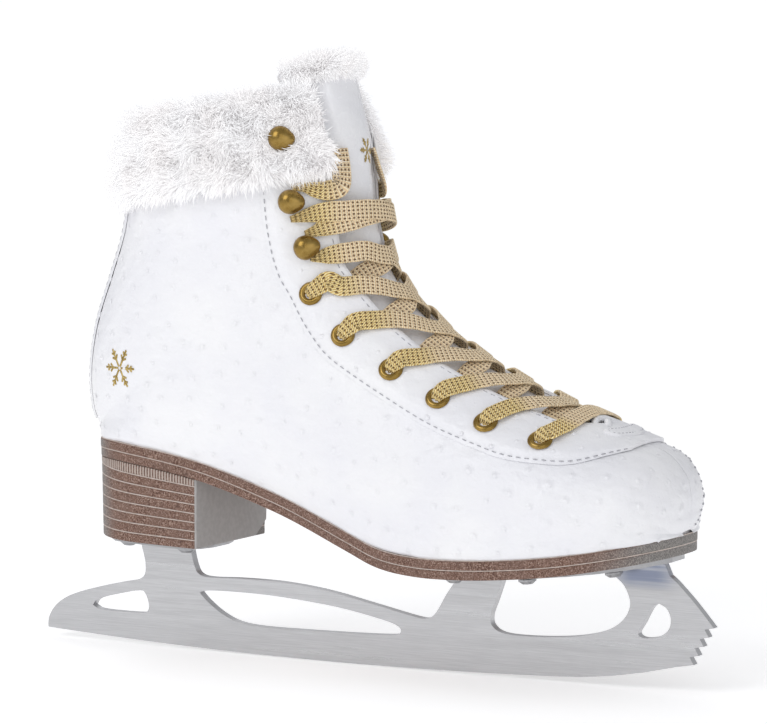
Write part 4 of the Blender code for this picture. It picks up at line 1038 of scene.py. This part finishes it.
def build_footbed():
    low, high = SOLE_HEEL + 14.5, SOLE_TOE - 9.0
    inset = SOLE_EDGE + LEATHER + COUNTER + LINING + 4 * GAP + 1.5

    def half(x):
        stretched = SOLE_HEEL + (x - low) * (SOLE_TOE - SOLE_HEEL) / (high - low)
        return np.maximum(half_breadth(stretched) - inset, 1.0)

    mesh = slab_mesh("soft_footbed", end_spread(low, high, 70), half, lambda x: feather(x) + 6.2,
                     lambda x: feather(x) + 2.8, 1.2)
    add_piece("soft_footbed", mesh, FLEECE_LOOK, replaces=["footbed"])


# ---- Sole and heel -------------------------------------------------------------------------------
def sole_bottom(x):
    return feather(x) - 2 * LAYER - 0.2


def heel_bottom(x):
    return 47.2 - 2.2 * (x - SOLE_HEEL) / (HEEL_BREAST - SOLE_HEEL)


def build_sole():
    """Two layers of board with pale glue lines, standing just proud of the leather."""
    xs = end_spread(SOLE_HEEL + 0.1, SOLE_TOE - 0.1, 130)
    layers = (
        ("upper_sole_layer", 0.0, -0.25, -LAYER, "midsole", SOLE_LOOK),
        ("lower_sole_layer", -0.4, -LAYER - 0.35, -2 * LAYER - 0.2, "outsole", SOLE_LOOK),
        ("sole_line", -0.15, -LAYER + 0.02, -LAYER - 0.37, None, PALE_LINE_LOOK),
        ("welt_line", -0.5, 0.12, -0.27, None, PALE_LINE_LOOK),
    )
    for name, inset, top, bottom, node, look in layers:
        mesh = slab_mesh(name, xs, lambda x: max(half_breadth(x) + inset, 0.4), lambda x: feather(x) + top,
                         lambda x: feather(x) + bottom)
        add_piece(name, mesh, look, replaces=[node] if node else ())



def build_lasting_margin():
    """The upper's turned-under edge, which closes the joint between the leather and the sole."""
    xs = end_spread(SOLE_HEEL + 1.6, SOLE_TOE - 1.6, 110)
    mesh = slab_mesh("lasting_margin", xs, lambda x: max(half_breadth(x) - SOLE_EDGE - 0.3, 0.4),
                     lambda x: feather(x) + 2.6, lambda x: feather(x) - 0.1)
    add_piece("lasting_margin", mesh, LEATHER_LOOK)


HEEL_LIFTS = 7
LIFT_PITCH = 3.95
LIFT_FAN = 0.013  # how much steeper each lift lies than the one under it


def heel_level(i):
    """The line under lift i, counted from the ground up."""
    fan = LIFT_FAN * i * (HEEL_BREAST - SOLE_HEEL) / 2
    length = HEEL_BREAST - SOLE_HEEL
    return lambda x: heel_bottom(x) + i * LIFT_PITCH - fan * (2 * (x - SOLE_HEEL) / length - 1)


def heel_half(level):
    """The heel tapers a little towards the ground."""
    return lambda x: max(half_breadth(x) - 0.8 - 0.55 * (HEEL_LIFTS - level) / HEEL_LIFTS * 3.2 * 0.45, 0.5)


def build_heel():
    """Lifts of board with pale lines between them, and a ribbed wedge up against the sole."""
    back = end_spread(SOLE_HEEL + 0.2, 2 * HEEL_BREAST - SOLE_HEEL, 110)
    xs = np.r_[back[back < HEEL_BREAST - 0.8], HEEL_BREAST - 0.6]
    line = 0.42
    for i in range(HEEL_LIFTS):
        low, high = heel_level(i), heel_level(i + 1)
        mesh = slab_mesh(f"heel_lift_{i + 1}", xs, heel_half(i + 0.5), lambda x: high(x) - line, low)
        add_piece(f"heel_lift_{i + 1}", mesh, SOLE_LOOK, replaces=["heel"] if i == 0 else ())
        mesh = slab_mesh(f"heel_line_{i + 1}", xs, heel_half(i + 1.0), high, lambda x: high(x) - line - 0.02)
        add_piece(f"heel_line_{i + 1}", mesh, PALE_LINE_LOOK)
    top = heel_level(HEEL_LIFTS)
    mesh = slab_mesh("heel_wedge", xs, heel_half(HEEL_LIFTS + 1), lambda x: sole_bottom(x) - 0.3, top)
    add_piece("heel_wedge", mesh, RIBBED_LOOK)
    build_breast()


def build_breast():
    """The heel's smooth front face, with its lower corner on the inner side cut off."""
    x, chamfer_wide, chamfer_tall, thick = HEEL_BREAST - 0.6, 9.0, 6.0, 0.9
    low, high, wide = float(heel_bottom(x)), float(sole_bottom(x)) - 0.35, float(half_breadth(x)) - 0.9
    outline = [
        (-wide, high), (-wide, low + 0.2), (wide - chamfer_wide, low + 0.2), (wide - 0.4, low + chamfer_tall),
        (wide, high),
    ]
    middle = float(swing(x))
    level = (low + high) / 2
    rings = [[(x + out, middle + y * inset, level + (z - level) * inset) for y, z in outline]
             for out, inset in ((0.0, 1.0), (thick - 0.3, 1.0), (thick, 0.985))]
    mesh = tube_mesh("heel_front", np.array(rings)[::-1], 30)
    add_piece("heel_front", mesh, BREAST_LOOK)


# ---- Hardware ------------------------------------------------------------------------------------
def build_eyelets():
    """Rolled brass rings, each with a dark disc of painted shade in the bore behind it."""
    top = 2 * GAP + FACING
    rim = [(2.6, top + 1.05), (3.4, top + 1.3), (4.2, top + 1.0), (4.75, top + 0.2), (4.3, top + 0.05)]
    barrel = [(2.75, top), (2.75, -LEATHER), (2.35, -LEATHER), (2.35, top + 0.55)]
    ring = lathe_mesh("eyelet", rounded_profile(rim) + barrel, ring=True)
    # The bore disc is painted shade, dark where a closed bottom would be lit.
    bore = lathe_mesh("bore", [(0.0, 0.9), (1.4, 0.85), (2.34, 0.8), (2.34, 0.4), (0.0, 0.4)], 24)
    for name, side in SIDES:
        for i in range(1, 7):
            node = f"{name}_eyelet_{i}"
            here = seat(*where_on_boot(node_centre(node), side), side)
            place_on(add_piece(f"{node}_ring", ring.copy(), BRASS_LOOK), here, [node])
            place_on(add_piece(f"{node}_bore", bore.copy(), BORE_SHADE_LOOK), here)


def place_on(piece, matrix, nodes=()):
    piece.matrix_world = matrix
    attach(piece, "boot")
    if nodes:
        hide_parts(*nodes)


def hook_mesh(name):
    """A lacing hook: a pear-shaped dome whose narrow end points to the throat, on a neck and a round foot."""
    seat_out = 2 * GAP + FACING
    around = 48
    angle = np.linspace(0, 2 * np.pi, around, endpoint=False)
    beak = 1 + 0.22 * np.maximum(np.cos(angle), 0) ** 6 - 0.06 * np.maximum(-np.cos(angle), 0) ** 2
    rings = []
    for share, height in ((0.02, 4.75), (0.3, 4.6), (0.55, 4.15), (0.76, 3.4), (0.91, 2.4), (0.99, 1.4), (1.0, 0.75),
                          (0.95, 0.35), (0.8, 0.15), (0.4, 0.1), (0.33, -1.6), (0.5, -2.0), (0.66, -2.35),
                          (0.68, -2.9), (0.3, -3.0)):
        reach = 4.95 * share * (beak if height > 0.12 else 1.0)
        lip = 0.55 * np.maximum(np.cos(angle), 0) ** 9 * (share > 0.7) * (height > 0.12)
        x, y = reach * np.cos(angle), reach * np.sin(angle) * 0.97
        rings.append(np.c_[x, y, np.full(around, seat_out + 3.0 + height) + lip])
    return tube_mesh(name, np.array(rings), 60)


def build_hooks():
    for name, side in SIDES:
        for i in range(1, 4):
            node = f"{name}_hook_{i}"
            t, q = where_on_boot(node_centre(node), side)
            here = seat(t, q, side)
            to_throat = Vector(skin(t, q - 0.05, side) - skin(t, q, side))
            local = here.to_3x3().inverted() @ to_throat
            turn = Matrix.Rotation(math.atan2(local.y, local.x) + 0.25 * side, 4, "Z")
            piece = add_piece(f"{node}_dome", hook_mesh(f"{node}_dome"), BRASS_LOOK)
            place_on(piece, here @ turn, [node])


# ---- Laces ---------------------------------------------------------------------------------------
LACE_WIDTH, LACE_THICKNESS = 7.9, 1.0
LOOP_GAP = 1.12
CROSSING_SAG = (0.42, 0.28, 0.10, -0.05, -0.12)


def lace_line(path):
    """Centre, outward normal and width share along a lace's path of (station, breadth, out, width share)."""
    t, breadth, out, share = np.moveaxis(dense(path, 30), -1, 0)
    line, above = on_ridge(t, breadth, out), on_ridge(t, breadth, out + 1.0)
    distance = np.r_[0, np.cumsum(np.linalg.norm(np.diff(line, axis=0), axis=1))]
    even = np.linspace(0, distance[-1], int(distance[-1] / 0.4))
    columns = np.c_[line, unit(above - line), share, np.abs(breadth)]
    return np.stack([np.interp(even, distance, column) for column in columns.T], -1), even


def lace_mesh(name, path):
    """A woven ribbon: flat, thinning towards its edges, with ribs across it and dimples where its holes are."""
    data, along = lace_line(path)
    line, up, share, breadth = data[:, :3], unit(data[:, 3:6]), data[:, 6:7], data[:, 7]
    ahead = unit(np.gradient(line, axis=0))
    across = unit(np.cross(ahead, up))
    rise = unit(np.cross(across, ahead))
    columns, half = 22, LACE_WIDTH / 2
    v = np.linspace(-half, half, columns)
    rib = 0.08 * np.sin(along * 2 * np.pi / (LACE_PITCH / 2))[:, None]
    hole = np.cos(along * 2 * np.pi / LACE_PITCH)[:, None] + np.cos(v / LACE_ROW * 2 * np.pi)
    dimple = 0.3 * np.clip(hole - 0.6, 0, 1) * (np.abs(v) < 3.4)
    edge = 0.30 * ease(3.5, half, np.abs(v))
    tall = LACE_THICKNESS / 2 + rib - edge - dimple
    crumple = 0.55 * (1 - np.clip(share, 0.4, 1.0)) * np.cos(v * 2.0)
    flat = line[:, None] + across[:, None] * (v[None, :, None] * share[:, None])
    upper = flat + rise[:, None] * (tall + crumple)[..., None]
    lower = flat - rise[:, None] * (tall - crumple)[..., None]
    rings = np.concatenate([upper, lower[:, ::-1]], 1)[:, ::-1]
    mesh = tube_mesh(name, rings)
    weave = np.zeros((*rings.shape[:2], 3), np.float32)
    weave[..., 0] = along[:, None]
    weave[..., 1] = np.r_[v, v[::-1]][::-1]
    # The third value is the share of painted gold sheen, full where the lace runs near the eyelets.
    weave[..., 2] = ease(15.0, 22.0, breadth)[:, None]
    mesh.attributes.new("weave", "FLOAT_VECTOR", "POINT").data.foreach_set("vector", weave.ravel())
    return mesh


def lace_spots():
    """(station, breadth) of the left side's eyelets and hooks, from the toe up."""
    spots = []
    for node in [f"left_eyelet_{i}" for i in range(1, 7)] + [f"left_hook_{i}" for i in range(1, 4)]:
        t, q = where_on_boot(node_centre(node), 1)
        spots.append((float(t), float(form(t, q)[1])))
    return spots


def into_eyelet(t, y, over):
    """The end of a run that turns over an eyelet's rim and goes down through it."""
    return [
        (t - 0.06, y - 3.6, over + 1.0, 0.98), (t - 0.02, y - 2.0, over + 1.25, 0.92),
        (t, y - 0.5, over + 0.9, 0.75), (t, y + 0.5, over - 0.6, 0.5), (t, y + 0.6, -0.2, 0.4),
    ]


def under_edge(t):
    """The start of a run that comes out from under the right lacing edge and climbs on to the tongue."""
    return [
        (t, -THROAT_HALF - 2.3, -2.7, 1.0), (t, 0.6 - THROAT_HALF, -2.4, 1.0),
        (t, 5.5 - THROAT_HALF, -0.6, 1.0), (t, 11.5 - THROAT_HALF, 0.6, 1.0),
    ]


def build_laces():
    """A bar between the first eyelets, seven mirrored pairs of runs and two ends.

    Each run comes out from under one lacing edge and crosses the tongue. Five of them go down through the next
    eyelet up on the other side, the sixth goes to the first hook, and the top one runs from hook to hook.
    """
    spots = lace_spots()
    over = FACING_TOP + 0.25 + LACE_THICKNESS / 2
    t, y = spots[0]
    half_bar = [(t - 0.1, 10.0, over + 0.4, 1.0), (t - 0.12, 20.0, over + 0.4, 1.0), *into_eyelet(t, y, over)]
    other_half = [(t, -y, out, share) for t, y, out, share in half_bar[::-1]]
    mesh = lace_mesh("lace_bar_weave", [*other_half, (t - 0.08, 0.0, over + 0.8, 1.0), *half_bar])
    add_piece("lace_bar_weave", mesh, LACE_LOOK, replaces=["lace_bar"])
    for i, sag in enumerate(CROSSING_SAG, 1):
        (low, _), (t, y) = spots[i - 1], spots[i]
        ridge = low + sag * (t - low)
        rise = t - ridge
        add_pair(i, under_edge(ridge - 0.1 * rise) + [
            (ridge, 0.0, 1.0, 1.0), (ridge + 0.13 * rise, 7.0, 1.3, 1.0),
            (ridge + 0.30 * rise, 12.0, over - 0.3, 1.0),
            (ridge + 0.52 * rise, THROAT_HALF, over + 0.3, 1.0), (ridge + 0.72 * rise, 21.0, over + 0.5, 1.0),
            *into_eyelet(t, y, over),
        ])
    low, (t, y) = spots[5][0] - 0.6, spots[6]
    rise = t - LOOP_GAP - low
    add_pair(6, under_edge(low) + [
        (low + 0.10 * rise, 0.0, 1.4, 1.0), (low + 0.20 * rise, 6.0, 1.8, 1.0),
        (low + 0.42 * rise, 11.0, over + 0.2, 1.0),
        (low + 0.66 * rise, 16.5, over + 0.7, 1.0), (low + 0.83 * rise, y - 3.8, over + 1.0, 0.85),
        (low + 0.94 * rise, y - 1.4, over + 1.0, 0.5), (low + rise, y - 0.2, over + 1.0, 0.3),
    ])
    (low, y), (t, y2) = spots[6], spots[7]
    low, high, stack = low + LOOP_GAP, t - LOOP_GAP, 1.5
    add_pair(7, [
        (low, 0.2 - y, over + 1.0, 0.3), (low - 0.1, 1.6 - y, over + 1.0, 0.5),
        (low - 0.2, 4.4 - y, over + 1.2, 0.85),
        (low - 0.4, 8.5 - y, over + stack, 1.0), (low - 0.5, 13.0 - y, over + 0.2 + stack, 1.0),
        (low - 0.4, 0.0, over + stack - 0.6, 1.0), (low + 0.5, 13.0, over + 0.2 + stack, 1.0),
        (high - 0.35, 19.0, over + 0.6 + stack, 1.0), (high - 0.15, y2 - 4.4, over + 1.2, 0.85),
        (high - 0.05, y2 - 1.6, over + 1.0, 0.5), (high, y2 - 0.2, over + 1.0, 0.3),
    ])
    tail = [
        (t + 0.8, y2 - 0.2, over + 1.0, 0.35), (t + 0.72, y2 - 2.2, over + 1.0, 0.5),
        (t + 0.4, y2 - 4.6, over + 1.0, 0.8),
        (t + 0.2, 18.6, over + 1.0, 1.0), (t + 0.35, 16.0, over + 0.6, 1.0), (t + 1.1, 14.8, over - 0.6, 1.0),
        (t + 2.6, 14.0, 0.2, 1.0),
    ]
    for name, side in SIDES:
        path = [(t, side * y, out, share) for t, y, out, share in tail]
        add_piece(f"{name}_lace_tail", lace_mesh(f"{name}_lace_tail", path), LACE_LOOK,
                  replaces=[f"{name}_lace_end"])


def add_pair(i, path):
    """A run of lace and its mirror image, which lies over it at the ridge."""
    lift = 1.15
    twin = [(t, -y, out + lift * float(1 - ease(4.0, 20.0, abs(y))), share) for t, y, out, share in path]
    mesh = lace_mesh(f"lace_left_run_{i}", path)
    add_piece(f"lace_left_run_{i}", mesh, LACE_LOOK, replaces=[f"lace_crossing_{i}"])
    add_piece(f"lace_right_run_{i}", lace_mesh(f"lace_right_run_{i}", twin), LACE_LOOK)


# ---- Emblem --------------------------------------------------------------------------------------
def snowflake(radius):
    """Strokes of a plain six-armed snowflake as pairs of points in the plane."""
    strokes = []
    for k in range(6):
        a = k * math.pi / 3
        arm = np.array([math.cos(a), math.sin(a)])
        strokes.append((arm * 0.08 * radius, arm * radius))
        for reach, size in ((0.45, 0.26), (0.7, 0.2)):
            for turn in (math.pi / 4, -math.pi / 4):
                twig = np.array([math.cos(a + turn), math.sin(a + turn)]) * size
                strokes.append((arm * reach * radius, (arm * reach + twig) * radius))
    return strokes


EMBLEM_REACH = 60.0  # how far out the casting starts, clear of the boot


def build_emblem(name, centre, facing, target, radius, stroke, body):
    """A snowflake in gold foil, laid on the target mesh by casting its points along -facing."""
    tree = BVHTree.FromPolygons([v.co[:] for v in target.vertices], [p.vertices[:] for p in target.polygons])
    up = Vector((0, 0, 1))
    right = up.cross(facing).normalized()
    up = facing.cross(right).normalized()
    parts = []
    for a, b in snowflake(radius):
        along = (b - a) / np.linalg.norm(b - a)
        side = np.array([-along[1], along[0]]) * stroke / 2
        rows = []
        for s in np.linspace(0, 1, 8):
            middle = a + (b - a) * s
            row = []
            for offset, lift in ((-1, 0.0), (-0.8, 0.18), (0.8, 0.18), (1, 0.0)):
                spot = middle + side * offset
                start = Vector(centre) * MM + (right * spot[0] + up * spot[1] + facing * EMBLEM_REACH) * MM
                hit = tree.ray_cast(start, -facing)[0]
                row.append(np.array(hit + facing * lift * MM) / MM)
            rows.append(row)
        rows = np.array(rows)
        points = rows.reshape(-1, 3)
        faces = grid_faces(8, 4)
        parts.append((points, faces))
    add_piece(name, joined(name, parts), FOIL_LOOK, body)


def build_emblems():
    side_mesh = bpy.data.objects["right_side_leather"].data
    outward = Vector((-0.15, -1, 0.0)).normalized()
    build_emblem("heel_emblem", (-91.0, 0, 116.0), outward, side_mesh, 8.5, 0.9, "boot")
    tongue = bpy.data.objects["tongue_leather"].data
    forward = Vector((1, -0.15, 0.2)).normalized()
    build_emblem("tongue_emblem", (10.0, 1.0, 205.0), forward, tongue, 5.5, 0.7, "tongue")


# ---- CAD nodes that stay -------------------------------------------------------------------------
def finish_cad_nodes():
    """The metal and the hidden boards keep their CAD shape, and get finer edges and their own materials."""
    boards = ("insole_board", "heel_counter", "toe_puff")
    looks = {"blade": BLADE_LOOK, **{board: BOARD_LOOK for board in boards}}
    for name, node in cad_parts.items():
        if node.hide_render:
            continue
        look = looks.get(name, PLATE_LOOK)
        node.data.materials.clear()
        node.data.materials.append(look.material)
        if look in (BLADE_LOOK, PLATE_LOOK):
            bevel = node.modifiers.new("edges", "BEVEL")
            bevel.width = 0.35 * MM
            bevel.segments = 2
            bevel.limit_method = "ANGLE"
            bevel.angle_limit = math.radians(35)
            bevel.harden_normals = True


# ---- Stage ---------------------------------------------------------------------------------------
SKY_LIGHT, SKY_SEEN, FLOOR_GLOW = 0.57, 1.06, 0.38


def build_stage():
    low, high = CAD_BOX
    middle = (low + high) / 2
    floor_mesh = bpy.data.meshes.new("floor")
    floor_mesh.from_pydata([(-6, -6, 0), (6, -6, 0), (6, 6, 0), (-6, 6, 0)], [], [(0, 1, 2, 3)])
    floor = bpy.data.objects.new("floor", floor_mesh)
    bpy.context.scene.collection.objects.link(floor)
    floor.location.z = low.z - 0.0002
    paint = Look("floor_paint", (0.9, 0.9, 0.9), 0.95, **{"Specular IOR Level": 0.05})
    distance = paint.node("ShaderNodeVectorMath", {0: paint.place}, operation="LENGTH").outputs["Value"]
    glow = paint.span(distance, 0.25, 1.2, FLOOR_GLOW, 1.0)
    paint.set("Emission Color", (1.0, 1.0, 1.0, 1.0))
    paint.set("Emission Strength", glow)
    paint.set("Base Color", paint.mix(paint.span(distance, 0.25, 1.2), (0.9, 0.9, 0.9), (0.0, 0.0, 0.0)))
    floor_mesh.materials.append(paint.material)
    world = bpy.data.worlds.new("studio")
    bpy.context.scene.world = world
    world.use_nodes = True
    tree = world.node_tree
    sky = tree.nodes["Background"]
    sky.inputs["Color"].default_value = (0.96, 0.97, 1.0, 1.0)
    seen = tree.nodes.new("ShaderNodeLightPath").outputs["Is Camera Ray"]
    strength = tree.nodes.new("ShaderNodeMapRange")
    strength.inputs["To Min"].default_value = SKY_LIGHT
    strength.inputs["To Max"].default_value = SKY_SEEN
    tree.links.new(seen, strength.inputs["Value"])
    tree.links.new(strength.outputs[0], sky.inputs["Strength"])
    lights = (
        ("key", (-0.45, -1.35, 1.0), 1.0, 8.0),
        ("fill", (1.0, -1.2, 0.5), 1.0, 2.5),
        ("rim", (-0.9, 1.1, 1.2), 1.0, 4.0),
    )
    for name, place, size, power in lights:
        lamp = bpy.data.lights.new(name, "AREA")
        lamp.size, lamp.energy = size, power
        light = bpy.data.objects.new(name, lamp)
        bpy.context.scene.collection.objects.link(light)
        light.location = middle + Vector(place)
        light.rotation_euler = Vector(place).to_track_quat("Z", "Y").to_euler()


def build_camera():
    """The camera looks at the skate's outer side from a little in front, almost level."""
    azimuth, elevation, distance = math.radians(28.0), math.radians(4.5), 1.2636
    low, high = CAD_BOX
    target = (low + high) / 2
    target += Vector((0.0083, -target.y, 0.1202 - target.z))
    level = math.cos(elevation)
    back = Vector((math.sin(azimuth) * level, -math.cos(azimuth) * level, math.sin(elevation)))
    lens = bpy.data.cameras.new("camera")
    lens.sensor_width, lens.lens = 36.0, 151.3
    camera = bpy.data.objects.new("camera", lens)
    bpy.context.scene.collection.objects.link(camera)
    camera.location = target + back * distance
    camera.rotation_euler = back.to_track_quat("Z", "Y").to_euler()
    bpy.context.scene.camera = camera
    bpy.context.scene.view_settings.view_transform = "Standard"


def write_sizes():
    bpy.context.view_layer.update()


build_panels()
build_facings()
build_back_stay()
build_throat()
build_stitches()
build_collar()
build_tongue()
build_lining()
build_footbed()
build_sole()
build_lasting_margin()
build_heel()
build_eyelets()
build_hooks()
build_laces()
build_emblems()
finish_cad_nodes()
build_stage()
build_camera()
write_sizes()
